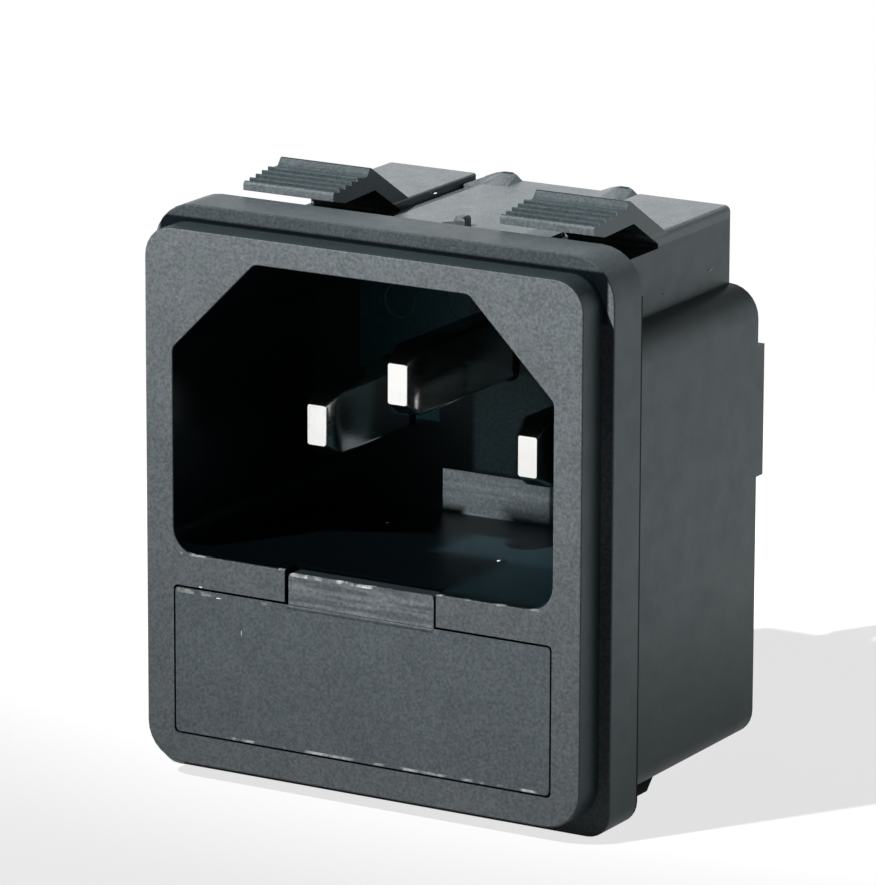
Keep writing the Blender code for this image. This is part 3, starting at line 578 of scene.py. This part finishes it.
def skin_mesh(name: str, rings: np.ndarray, looped: bool = False) -> bpy.types.Mesh:
    """Make a closed mesh over rings of points.

    Args:
        name: the mesh's name.
        rings: rings by points by coordinates, or bodies by rings by points by coordinates.
        looped: whether the last ring joins the first; otherwise both ends are capped.

    Returns:
        The mesh, with its faces turned outwards.
    """
    bodies = rings[None] if rings.ndim == 3 else rings
    total, rows, count, _ = bodies.shape
    starts = np.arange(total)[:, None, None] * rows * count
    faces = (ring_faces(rows, count, looped)[None] + starts).reshape(-1, 4).tolist()
    if not looped:
        ends = np.stack((np.arange(count), np.arange(count) + (rows - 1) * count))
        faces += (ends[None] + starts).reshape(-1, count).tolist()
    mesh = bpy.data.meshes.new(name)
    mesh.from_pydata(placed(bodies.reshape(-1, 3)).tolist(), [], faces)
    shape = bmesh.new()
    shape.from_mesh(mesh)
    bmesh.ops.recalc_face_normals(shape, faces=shape.faces)
    shape.to_mesh(mesh)
    shape.free()
    return mesh


@dataclass
class Piece:
    """One piece of the scene: what it stands for, what it rides on and how sharp its edges stay."""

    node: str
    body: Part
    sharp_degrees: float = 35.0

    @property
    def box(self) -> tuple[np.ndarray, np.ndarray]:
        """Return the node's two corners in the panel's frame, in millimetres."""
        low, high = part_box(self.node)
        return np.array(low) / MM - ORIGIN, np.array(high) / MM - ORIGIN

    def mesh(self) -> bpy.types.Mesh:
        """Make the piece's mesh."""
        raise NotImplementedError

    def build(self) -> bpy.types.Object:
        """Make the piece, shade its rounds smooth, and let it stand for its node."""
        mesh = self.mesh()
        mesh.shade_smooth()
        mesh.set_sharp_from_angle(angle=math.radians(self.sharp_degrees))
        piece = new_object(f"{self.node}_skin", mesh)
        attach(piece, self.body.value)
        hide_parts(self.node)
        return piece

    def dress(self, material: bpy.types.Material) -> None:
        """Build the piece and give it one material on all its slots."""
        piece = self.build()
        if not piece.material_slots:
            piece.data.materials.append(material)
        for slot in piece.material_slots:
            slot.material = material
        LOG.info("%s: %d faces", self.node, len(piece.data.polygons))


@dataclass
class SmoothSkin(Piece):
    """A merged copy of a CAD node with its flats joined and its edges slightly broken."""

    sharp_degrees: float = 32.0
    edge_mm: float = 0.05
    edge_segments: int = 3
    weld_mm: float = 0.001
    flat_degrees: float = 0.5

    def reshape(self, points: np.ndarray) -> np.ndarray:
        """Return the copy's points, in the panel's frame, after the changes that this skin makes."""
        return points

    def mesh(self) -> bpy.types.Mesh:
        """Copy the node's mesh, merge its loose triangles into flats and reshape it."""
        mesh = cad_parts[self.node].data.copy()
        shape = bmesh.new()
        shape.from_mesh(mesh)
        bmesh.ops.remove_doubles(shape, verts=shape.verts, dist=self.weld_mm * MM)
        flat = math.radians(self.flat_degrees)
        bmesh.ops.dissolve_limit(shape, angle_limit=flat, verts=shape.verts, edges=shape.edges)
        shape.to_mesh(mesh)
        shape.free()
        points = np.empty(3 * len(mesh.vertices))
        mesh.vertices.foreach_get("co", points)
        reshaped = self.reshape(points.reshape(-1, 3) / MM - ORIGIN)
        mesh.vertices.foreach_set("co", placed(reshaped).ravel())
        mesh.update()
        return mesh

    def build(self) -> bpy.types.Object:
        """Make the piece and break its edges."""
        piece = super().build()
        rounding = piece.modifiers.new("soft_edges", "BEVEL")
        rounding.width = self.edge_mm * MM
        rounding.segments = self.edge_segments
        rounding.limit_method = "ANGLE"
        rounding.angle_limit = math.radians(self.sharp_degrees)
        rounding.use_clamp_overlap = True
        rounding.harden_normals = True
        weighting = piece.modifiers.new("even_flats", "WEIGHTED_NORMAL")
        weighting.keep_sharp = True
        return piece


@dataclass
class HousingSkin(SmoothSkin):
    """The housing: its lugs under the body reach a little further out."""

    lug_top: float = -16.5
    lug_side: float = 11.8
    lug_start: float = 0.6
    lug_reach: float = 0.75
    lug_rise: float = 0.1

    def reshape(self, points: np.ndarray) -> np.ndarray:
        """Move the outer lower edges of the lugs outwards."""
        x, y, z = points.T
        on_lug = (z < self.lug_top) & (np.abs(x) > self.lug_side) & (y > self.lug_start)
        outwards = np.where(on_lug, self.lug_reach * np.sign(x), 0.0)
        return np.stack((x + outwards, y, z + np.where(on_lug, self.lug_rise, 0.0)), axis=-1)


@dataclass
class DrawerSkin(SmoothSkin):
    """The fuse drawer: its grip tab reaches up to the inlet's edge and its front fills its bay."""

    tab_foot: float = -5.75
    tab_top: float = -4.2
    tab_half: float = 4.8
    tab_rise: float = 0.4
    tab_right: float = 0.15
    tab_left: float = 0.05
    front_depth: float = 1.95
    front_middle: float = -9.75
    half_width: float = 12.2
    half_height: float = 4.15
    side_reach: float = 0.2
    end_reach: float = 0.2

    def reshape(self, points: np.ndarray) -> np.ndarray:
        """Lift and widen the tab, and move the front plate's edges out by the reaches in proportion."""
        x, y, z = points.T
        at_front = y < FACE + self.front_depth
        of_tab = at_front & (z > self.tab_foot) & (np.abs(x) < self.tab_half)
        of_plate = at_front & ~of_tab
        wider = np.where(of_plate, self.side_reach * x / self.half_width, 0.0)
        wider += np.where(of_tab, np.where(x > 0, self.tab_right, -self.tab_left), 0.0)
        share = np.clip((z - self.front_middle) / self.half_height, -1.0, 1.0)
        higher = np.where(of_plate, self.end_reach * share, 0.0)
        higher += np.where(of_tab & (z > self.tab_top), self.tab_rise, 0.0)
        return np.stack((x + wider, y, z + higher), axis=-1)


@dataclass
class ContactBlade(Piece):
    """A rectangular contact pin: tapered tip, blade, collar, tail and peened head, as one loft."""

    tip_width: float = 1.33
    tip_height: float = 2.5
    width: float = 2.0
    height: float = 4.0
    taper: float = 1.3
    corner: float = 0.3
    tip_corner: float = 0.14
    collar_depth: float = 2.3
    collar_margin: float = 0.6
    collar_length: float = 0.95
    head_length: float = 0.4
    tail: tuple[float, float] = (1.4, 2.4)
    head_margin: float = 0.55
    break_mm: float = 0.06

    def mesh(self) -> bpy.types.Mesh:
        """Loft rounded rectangles along Y, with doubled sections where the blade steps."""
        low, high = self.box
        front, end = low[1], high[1]
        collar = BACK_WALL + self.collar_depth
        collar_end = collar + self.collar_length
        head = end - self.head_length
        wide, tall = self.width + 2 * self.collar_margin, self.height + 2 * self.collar_margin
        tail_wide, tail_tall = self.tail
        head_wide, head_tall = tail_wide + 2 * self.head_margin, tail_tall + 2 * self.head_margin
        rim = 2 * self.break_mm
        sections = np.array((
            (front, self.tip_width - rim, self.tip_height - rim, self.tip_corner),
            (front + self.break_mm, self.tip_width, self.tip_height, self.tip_corner),
            (front + self.taper, self.width, self.height, self.corner),
            (collar, self.width, self.height, self.corner),
            (collar, wide, tall, self.corner),
            (collar_end, wide, tall, self.corner),
            (collar_end, tail_wide, tail_tall, self.corner),
            (head, tail_wide, tail_tall, self.corner),
            (head, head_wide, head_tall, self.corner),
            (end, head_wide, head_tall, self.corner),
        ))
        flat = rounded_rectangle(sections[:, 1], sections[:, 2], sections[:, 3])
        depth = np.broadcast_to(sections[:, :1], flat.shape[:2])
        centre = (low + high) / 2
        rings = np.stack((flat[..., 0] + centre[0], depth, flat[..., 1] + centre[2]), axis=-1)
        return skin_mesh(self.node, rings)


@dataclass
class TurnedPiece(Piece):
    """A fuse's cap, tube or wire, turned about an axis along X."""

    profile: tuple[tuple[float, float], ...] = ()
    looped: bool = False
    spans: int = 40

    def mesh(self) -> bpy.types.Mesh:
        """Turn the profile: a point (r, s) goes to r cos t and r sin t from the axis, at s along it."""
        low, high = self.box
        axis = (low + high) / 2
        radius, along = np.array(self.profile).T
        turn = np.linspace(0.0, 2 * np.pi, self.spans, endpoint=False)
        x = np.broadcast_to(along[:, None], (len(along), self.spans))
        y = axis[1] + radius[:, None] * np.cos(turn)
        z = axis[2] + radius[:, None] * np.sin(turn)
        return skin_mesh(self.node, np.stack((x, y, z), axis=-1), self.looped)


@dataclass(frozen=True)
class CartridgeFuse:
    """A glass cartridge fuse: two caps with rolled edges, the tube and its wire."""

    prefix: str
    length: float = 20.0
    radius: float = 2.6
    cap_length: float = 5.0
    cap_wall: float = 0.3
    roll: float = 0.3
    roll_points: int = 7
    tube_radius: float = 2.05
    tube_wall: float = 0.55
    wire_radius: float = 0.12
    bore: float = 0.02

    def cap_profile(self, side: int) -> tuple[tuple[float, float], ...]:
        """Return a cap's section: a rolled outer edge as a quarter circle, and the hollow behind it."""
        end, base = self.length / 2, self.length / 2 - self.cap_length
        inner, lid = self.radius - self.cap_wall, end - self.cap_wall
        rolled = [
            (self.radius - self.roll + self.roll * math.cos(t), end - self.roll + self.roll * math.sin(t))
            for t in np.radians(np.linspace(90.0, 0.0, self.roll_points))
        ]
        hollow = [(self.radius, base), (inner, base), (inner, lid), (self.bore, lid)]
        return tuple((r, side * s) for r, s in [(self.bore, end), *rolled, *hollow])

    def pieces(self) -> tuple[tuple[TurnedPiece, str], ...]:
        """Return the fuse's pieces, each with the name of its finish."""
        reach = self.length / 2 - 2 * self.cap_wall
        inner = self.tube_radius - self.tube_wall
        tube = ((self.tube_radius, reach), (self.tube_radius, -reach), (inner, -reach), (inner, reach))
        wire = ((self.wire_radius, reach), (self.wire_radius, -reach))
        caps = [
            (TurnedPiece(f"{self.prefix}_cap_{name}", Part.DRAWER, profile=self.cap_profile(side)), "cap")
            for name, side in (("left", -1), ("right", 1))
        ]
        return (
            *caps,
            (TurnedPiece(f"{self.prefix}_tube", Part.DRAWER, profile=tube, looped=True), "glass"),
            (TurnedPiece(f"{self.prefix}_wire", Part.DRAWER, profile=wire), "wire"),
        )


@dataclass
class SpringLeaf(Piece):
    """A bowed spring contact with rounded edges."""

    thickness: float = 0.3
    edge: float = 0.08
    edge_steps: int = 3
    rows: int = 25

    def mesh(self) -> bpy.types.Mesh:
        """Loft a rounded strip upwards, bowed forwards by the cosine of its height."""
        low, high = self.box
        height = np.linspace(low[2], high[2], self.rows)
        share = (height - (low[2] + high[2]) / 2) / (high[2] - low[2])
        bow = (high[1] - low[1] - self.thickness) * np.cos(np.pi * share)
        size = np.ones(self.rows)
        width = high[0] - low[0]
        thickness, edge = self.thickness * size, self.edge * size
        flat = rounded_rectangle(width * size, thickness, edge, self.edge_steps)
        x = flat[..., 0] + (low[0] + high[0]) / 2
        y = flat[..., 1] + (high[1] - self.thickness / 2 - bow)[:, None]
        z = np.broadcast_to(height[:, None], x.shape)
        return skin_mesh(self.node, np.stack((x, y, z), axis=-1))


@dataclass
class Specks:
    """Flecks of dust that lie on the plastic, as flattened balls."""

    name: str
    body: Part
    places: tuple[tuple[Point, Point], ...]
    pole_gap: float = 0.08
    rings: int = 7
    spans: int = 10

    def build(self, material: bpy.types.Material) -> None:
        """Scale and place one ball for each fleck: sin u cos t, sin u sin t and cos u times its radii."""
        centres = np.array([place for place, _ in self.places])
        radii = np.array([radius for _, radius in self.places])
        u = np.linspace(self.pole_gap, np.pi - self.pole_gap, self.rings)[:, None]
        t = np.linspace(0.0, 2 * np.pi, self.spans, endpoint=False)[None]
        ball = np.stack((np.sin(u) * np.cos(t), np.sin(u) * np.sin(t), np.cos(u) + 0 * t), axis=-1)
        mesh = skin_mesh(self.name, centres[:, None, None] + ball[None] * radii[:, None, None])
        mesh.shade_smooth()
        mesh.materials.append(material)
        piece = new_object(self.name, mesh)
        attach(piece, self.body.value)


@dataclass
class WallMark:
    """A faint raised ring on the inlet's back wall, as a torus about an axis along Y."""

    name: str
    centre: Point
    radius: float = 1.0
    section: float = 0.07
    proud: float = 0.03
    spans: int = 48
    section_spans: int = 8

    def build(self, material: bpy.types.Material) -> None:
        """Turn a flat oval section: r = radius + section cos u and y = proud sin u, round by t."""
        t = np.linspace(0.0, 2 * np.pi, self.spans, endpoint=False)[:, None]
        u = np.linspace(0.0, 2 * np.pi, self.section_spans, endpoint=False)[None]
        reach = self.radius + self.section * np.cos(u)
        rings = np.stack((reach * np.cos(t), self.proud * np.sin(u) + 0 * t, reach * np.sin(t)), axis=-1)
        mesh = skin_mesh(self.name, rings + np.array(self.centre), looped=True)
        mesh.shade_smooth()
        mesh.materials.append(material)
        piece = new_object(self.name, mesh)
        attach(piece, Part.MODULE.value)


# Studio


@dataclass
class Studio:
    """Camera, lamps, world and floor, in millimetres, degrees and watts.

    The floor mixes a shader that takes the part's shadow with a white glow, whose share rises to 1 with
    the distance. Where the floor is mirrored, its glow is dimmer near the part.
    """

    aim: Point = (1.15, 1.70, 3.43)
    azimuth: float = 30.349
    elevation: float = 14.515
    roll: float = 0.2
    distance: float = 394.56
    lens: float = 281.07
    sensor: float = 36.0
    clip_end: float = 20.0
    lamp_distance: float = 900.0
    key_aim: Point = (-53.0, FACE, 197.0)
    key_way: Point = (0.54, 1.0, -1.12)
    key_power: float = 346.0
    key_cone: float = 17.8
    key_radius: float = 14.0
    probe_aim: Point = (-1.0, BACK_WALL, -1.6)
    probe_power: float = 8.0
    probe_cone: float = 0.9
    probe_radius: float = 2.0
    ambient: float = 0.035
    ceiling: float = 0.12
    ceiling_span: Span = (0.2, 0.5)
    floor_half: float = 1500.0
    floor_level: float = -0.02
    floor_tone: Colour = (0.8, 0.8, 0.8)
    floor_bounce: Colour = (0.3, 0.3, 0.3)
    floor_roughness: float = 0.9
    shadow_near: float = 30.0
    shadow_white: float = 0.75
    mirror_near: float = 20.0
    mirror_white: float = 0.55
    white_from: float = 90.0

    def axes(self) -> tuple[Vector, Vector, Vector]:
        """Return the camera's right, up and back directions."""
        turn, lift = math.radians(self.azimuth), math.radians(self.elevation)
        back = Vector((math.sin(turn) * math.cos(lift), -math.cos(turn) * math.cos(lift), math.sin(lift)))
        right = Vector((math.cos(turn), math.sin(turn), 0.0))
        up = back.cross(right)
        c, s = math.cos(math.radians(self.roll)), math.sin(math.radians(self.roll))
        return c * right + s * up, c * up - s * right, back

    def place_camera(self) -> None:
        """Set the camera at the photograph's viewing angle."""
        right, up, back = self.axes()
        camera = bpy.data.cameras.new("view")
        camera.lens = self.lens
        camera.sensor_width = self.sensor
        camera.clip_end = self.clip_end
        holder = new_object("view", camera)
        turned = Matrix((right, up, back)).transposed().to_4x4()
        turned.translation = Vector(placed(np.array(self.aim))) + back * self.distance * MM
        holder.matrix_world = turned
        bpy.context.scene.camera = holder

    def light(self) -> None:
        """Place the key, the skirt of a wide spot from above, and a weak narrow spot into the inlet."""
        self.hang("key", self.key_power, self.key_cone, self.key_radius, self.key_way, self.key_aim)
        towards = tuple(-c for c in self.axes()[2])
        self.hang("probe", self.probe_power, self.probe_cone, self.probe_radius, towards, self.probe_aim)

    def hang(self, name: str, power: float, cone: float, radius: float, way: Point, aim: Point) -> None:
        """Hang a spot lamp that isn't mirrored.

        Args:
            name: the lamp's name.
            power: its power, in watts.
            cone: its cone's full angle, in degrees.
            radius: its own radius, in millimetres.
            way: the direction that its light travels.
            aim: the point in the panel's frame that it shines at.
        """
        lamp = bpy.data.lights.new(name, "SPOT")
        lamp.energy = power
        lamp.spot_size = math.radians(cone)
        lamp.spot_blend = 1.0
        lamp.shadow_soft_size = radius * MM
        holder = new_object(name, lamp)
        direction = Vector(way).normalized()
        holder.location = Vector(placed(np.array(aim))) - direction * self.lamp_distance * MM
        holder.rotation_euler = direction.to_track_quat("-Z", "Y").to_euler()
        holder.visible_glossy = False

    def surround(self) -> None:
        """Make the world: white where it is seen or mirrored, with a dim ceiling, and faint as light."""
        world = bpy.data.worlds.new("studio")
        bpy.context.scene.world = world
        world.use_nodes = True
        nodes = Nodes(world)
        background = world.node_tree.nodes["Background"]
        background.inputs["Color"].default_value = (1, 1, 1, 1)
        parts = nodes.add("ShaderNodeSeparateXYZ")
        nodes.link(nodes.add("ShaderNodeTexCoord").outputs["Generated"], parts.inputs[0])
        start, end = self.ceiling_span
        ceiling = nodes.spread(parts.outputs[2], (start, 1.0), (end, self.ceiling))
        path = nodes.add("ShaderNodeLightPath")
        seen = nodes.most(path.outputs["Is Camera Ray"], ceiling)
        dim = nodes.grade(path.outputs["Is Diffuse Ray"], 1.0, self.ambient)
        nodes.link(nodes.times(seen, dim), background.inputs["Strength"])

    def floor_finish(self) -> bpy.types.Material:
        """Build a pale finish that fades into the white round the part and is clear from below."""
        nodes, shader = new_material("pale_floor")
        path = nodes.add("ShaderNodeLightPath")
        tone = nodes.blend(path.outputs["Is Diffuse Ray"], self.floor_tone, self.floor_bounce)
        nodes.link(tone, shader.inputs["Base Color"])
        shader.inputs["Roughness"].default_value = self.floor_roughness
        shader.inputs["Specular IOR Level"].default_value = 0.0
        length = nodes.add("ShaderNodeVectorMath")
        length.operation = "LENGTH"
        nodes.link(nodes.coordinates(), length.inputs[0])
        distance = length.outputs["Value"]
        far = (self.white_from * MM, 1.0)
        mirrored = nodes.spread(distance, (self.mirror_near * MM, self.mirror_white), far)
        white = nodes.spread(distance, (self.shadow_near * MM, self.shadow_white), far)
        glow = nodes.add("ShaderNodeEmission")
        nodes.link(nodes.most(mirrored, path.outputs["Is Camera Ray"]), glow.inputs["Strength"])
        share = nodes.times(white, nodes.grade(path.outputs["Is Diffuse Ray"], 1.0, 0.0))
        above = nodes.mix_shaders(share, shader.outputs["BSDF"], glow.outputs["Emission"])
        behind = nodes.add("ShaderNodeNewGeometry").outputs["Backfacing"]
        clear = nodes.add("ShaderNodeBsdfTransparent").outputs["BSDF"]
        surface = nodes.mix_shaders(behind, above, clear)
        nodes.link(surface, nodes.owner.node_tree.nodes["Material Output"].inputs["Surface"])
        return nodes.owner

    def lay_floor(self) -> None:
        """Lay a plain square floor under the part, which keeps the part's shadow."""
        half, level = self.floor_half * MM, self.floor_level * MM
        mesh = bpy.data.meshes.new("floor")
        corners = [(-half, -half, level), (half, -half, level), (half, half, level), (-half, half, level)]
        mesh.from_pydata(corners, [], [(0, 1, 2, 3)])
        mesh.materials.append(self.floor_finish())
        floor = new_object("floor", mesh)

    def build(self) -> None:
        """Set up the whole studio."""
        self.place_camera()
        self.light()
        self.surround()
        self.lay_floor()
        bpy.context.scene.view_settings.view_transform = "Standard"


# The module


def on_wall(left: float, foot: float, right: float, top: float) -> Zone:
    """Return a zone on the inlet's back wall, by its left, lower, right and upper edges."""
    return Zone((left, WALL_LAYER[0], foot), (right, WALL_LAYER[1], top))


def on_floor(left: float, front: float, right: float, back: float) -> Zone:
    """Return a zone on the inlet's floor, by its left, front, right and back edges."""
    return Zone((left, front, FLOOR_LAYER[0]), (right, back, FLOOR_LAYER[1]))


def on_face(left: float, foot: float, right: float, top: float) -> Zone:
    """Return a zone on the raised face or the drawer's front, by its left, lower, right and upper edges."""
    return Zone((left, FACE_LAYER[0], foot), (right, FACE_LAYER[1], top))


def housing_plastic() -> MouldedPlastic:
    """Return the housing's finish: polished parts, hollows in painted shade, worn and painted patches.

    Strip, glimmer and the two sheens are painted light on the inlet's back wall.
    """
    deck_top, peak = 15.6, 18.4
    mouth, behind_wall = -4.95, 10.99
    latches = Zone((-11.9, 0.6, deck_top), (11.9, 9.4, peak))
    deck = Zone((-11.9, 0.45, 14.8), (11.9, 18.4, deck_top))
    ledge_top = Zone((-14.6, -4.9, 14.9), (14.6, -2.8, 15.9))
    foot = Zone((-14.6, -3.2, 13.0), (14.6, -2.8, 15.82))
    flange_crown = Zone((-14.4, -2.8, 15.9), (14.4, 0.2, 16.9))
    rear_edge_shade = Zone((14.9, 0.24, -17.0), (15.2, 0.5, 14.0))
    nose = Zone((-11.9, 0.6, deck_top), (11.9, 1.2, peak))
    teeth_left = Zone((-11.9, 1.2, deck_top), (-5.53, 4.95, peak))
    teeth_right = Zone((5.3, 1.2, deck_top), (11.47, 4.95, peak))
    hollow = Zone((-12.8, mouth, FLOOR_LAYER[0]), (12.8, behind_wall, 10.2))
    crest = Zone((-11.4, mouth, 10.2), (11.4, behind_wall, 14.5))
    notch = Zone((-5.2, -4.9, -5.6), (5.2, -3.5, -3.3))
    mouth_edge = on_face(-12.0, -3.46, 12.2, -3.3)
    strip = on_wall(-3.88, -3.6, 12.6, -0.84)
    glimmer = on_wall(-1.6, -0.5, 12.6, 5.4)
    sheen = on_wall(-9.55, 6.5, -2.2, 14.5)
    sheen_below = on_wall(-9.55, 2.0, -4.2, 6.5)
    strip_shadow = on_wall(-4.0, -3.6, -2.7, -3.3)
    floor_front_light = on_floor(5.5, -3.9, 12.6, 3.6)
    floor_sheen = on_floor(1.0, 3.6, 12.6, BACK_WALL)
    return MouldedPlastic(
        "black_moulding_with_painted_light_and_shade",
        polished=(latches, deck),
        matte=((ledge_top, 0.24), (rear_edge_shade, 0.04), (teeth_left, 0.004), (teeth_right, 0.004)),
        # The inlet's hollows, the crest and the notch behind the tab: nearly black painted shade, and
        # polished
        shaded_hollows=(hollow, crest, notch),
        patches=(
            # Painted light: the central top behind the flange is made lighter than the other walls
            Patch(deck, (0.045, 0.052, 0.056)),
            # Painted light and shade on the latches: the nose's tone and the teeth's dark tone stand in for
            # how light falls on them
            Patch(nose, (0.066, 0.076, 0.08)),
            Patch(teeth_left, (0.029, 0.037, 0.04)),
            Patch(teeth_right, (0.029, 0.037, 0.04)),
            # Painted light: the flange's top is made lighter than the other walls
            Patch(flange_crown, (0.034, 0.041, 0.044), soft=0.5),
            # Painted shade: a dark line in the corner at the foot of the raised face
            Patch(foot, (0.002, 0.003, 0.004), soft=0.15),
            # Painted shade: a dark line along the flange's rear edge, where it meets the body
            Patch(rear_edge_shade, (0.002, 0.003, 0.004), soft=0.1),
            # Painted light: a lit strip on the inlet's back wall, even and in streaks
            Patch(strip, (0.4, 0.46, 0.49)),
            Patch(strip, (0.55, 0.65, 0.7), WearAndLightPattern.STREAKED),
            # Painted shadow at the lower left corner of the lit strip
            Patch(strip_shadow, (0.003, 0.006, 0.007), soft=0.5),
            # Painted light: a paler area on the inlet's floor towards the front
            Patch(floor_front_light, (0.0025, 0.0065, 0.008), soft=0.8),
            # Painted light on the inlet's back wall: a faint glimmer and two blue-green sheens
            Patch(glimmer, (0.03, 0.05, 0.056), soft=0.4),
            Patch(sheen, (0.014, 0.055, 0.066), soft=0.1),
            Patch(sheen_below, (0.014, 0.055, 0.066), soft=0.1),
            # Painted light: a paler area on the inlet's floor towards the back wall
            Patch(floor_sheen, (0.005, 0.012, 0.015), soft=1.2),
            Patch(mouth_edge, (0.42, 0.44, 0.43), WearAndLightPattern.CHAFED, strength=0.55),
        ),
    )


def drawer_plastic() -> MouldedPlastic:
    """Return the drawer's finish, a little darker than the housing's as painted shade, with its chafed
    edges.
    """
    tab = on_face(-4.8, -5.5, 4.8, -3.4)
    tab_edge = on_face(-4.6, -3.7, 2.4, -3.4)
    crease_shade = on_face(-4.8, -5.68, 4.8, -5.6)
    lower_edge = on_face(-12.4, -14.05, 12.4, -13.92)
    upper_edge = on_face(-12.4, -5.72, -5.4, -5.5)
    return MouldedPlastic(
        "drawer_moulding_with_painted_light_and_shade",
        # Painted shade: the drawer's face tones are a little darker than the housing's
        face=(0.081, 0.096, 0.104),
        face_other=(0.084, 0.095, 0.106),
        patches=(
            Patch(tab, (0.3, 0.32, 0.32), WearAndLightPattern.STREAKED, strength=0.4),
            # Painted shade in the crease at the foot of the grip tab
            Patch(crease_shade, (0.03, 0.035, 0.04), soft=0.04, strength=0.7),
            Patch(tab_edge, (0.6, 0.62, 0.6), WearAndLightPattern.CHAFED),
            Patch(lower_edge, (0.5, 0.52, 0.5), WearAndLightPattern.CHAFED, strength=0.7),
            Patch(upper_edge, (0.4, 0.42, 0.4), WearAndLightPattern.CHAFED, strength=0.5),
        ),
    )


def mark_painted_light() -> MouldedPlastic:
    """Return the tone of the rings on the inlet's back wall, a dark blue-green that is painted light."""
    return MouldedPlastic("wall_mark_lit_tone", face=(0.04, 0.13, 0.15), face_other=(0.03, 0.11, 0.13))


def pin_metal() -> PlatedMetal:
    """Return the bright finish of the contact blades, whose flanks are darkened a little as painted shade.
    """
    colour = (1.0, 1.0, 0.98)
    return PlatedMetal("contact_pin_with_painted_shade", colour, dulled=0.97, side_shade=0.92, drawn_depth_mm=0.0003)


def skins() -> list[tuple[Piece, str]]:
    """Return every piece that stands for a node, each with the name of its finish."""
    pieces: list[tuple[Piece, str]] = [
        (HousingSkin("housing", Part.MODULE), "housing"),
        (SmoothSkin("rear_cover", Part.MODULE), "housing"),
        (DrawerSkin("fuse_drawer", Part.DRAWER), "drawer"),
        (SmoothSkin("line_strap", Part.MODULE), "plate"),
    ]
    pieces += [(ContactBlade(name, Part.MODULE), "pin") for name in ("line_pin", "neutral_pin", "earth_pin")]
    terminals = ("fused_terminal", "neutral_terminal", "earth_terminal")
    pieces += [(SmoothSkin(name, Part.MODULE), "plate") for name in terminals]
    pieces += [(SpringLeaf(f"fuse_contact_{side}", Part.MODULE), "bronze") for side in ("left", "right")]
    for prefix in ("active_fuse", "spare_fuse"):
        pieces += CartridgeFuse(prefix).pieces()
    return pieces


def lay_dust(material: bpy.types.Material) -> None:
    """Lay the flecks of dust on the face, the inlet's floor, the block's side, the crown and a latch."""
    Specks("module_dust", Part.MODULE, (
        ((-10.65, FACE, -5.25), (0.16, 0.03, 0.05)),
        ((4.52, 2.88, -3.38), (0.1, 0.14, 0.04)),
        ((-5.2, 6.72, -3.38), (0.09, 0.12, 0.04)),
        ((11.55, 14.9, 12.2), (0.03, 0.3, 0.08)),
        ((11.55, 9.34, 11.88), (0.03, 0.08, 0.08)),
        ((-5.4, 12.43, 15.22), (0.12, 0.16, 0.04)),
    )).build(material)
    Specks("drawer_dust", Part.DRAWER, (
        ((-9.43, FACE, -5.75), (0.2, 0.03, 0.05)),
        ((-7.9, FACE, -7.6), (0.04, 0.02, 0.16)),
    )).build(material)


def main() -> None:
    """Build the studio, then dress every piece of the module."""
    logging.basicConfig(level=logging.INFO, format="%(name)s: %(message)s")
    Studio().build()
    finishes = {
        "housing": housing_plastic(),
        "drawer": drawer_plastic(),
        "plate": PlatedMetal("nickel_plate_finish"),
        "pin": pin_metal(),
        "cap": PlatedMetal("fuse_cap_finish", (0.78, 0.78, 0.79), roughness=0.2),
        "wire": PlatedMetal("fuse_wire_finish", (0.62, 0.62, 0.6), roughness=0.3),
        "bronze": PlatedMetal("spring_bronze_finish", (0.72, 0.48, 0.27), roughness=0.24),
        "glass": ClearGlass("fuse_glass_finish"),
    }
    materials = {name: finish.material() for name, finish in finishes.items()}
    for piece, finish in skins():
        piece.dress(materials[finish])
    mark = mark_painted_light().material()
    WallMark("wall_mark_left", (-6.86, BACK_WALL, 8.95)).build(mark)
    WallMark("wall_mark_right", (-2.66, BACK_WALL, 9.29)).build(mark)
    lay_dust(Dust("dust_finish").material())


if __name__ == "__main__":
    main()
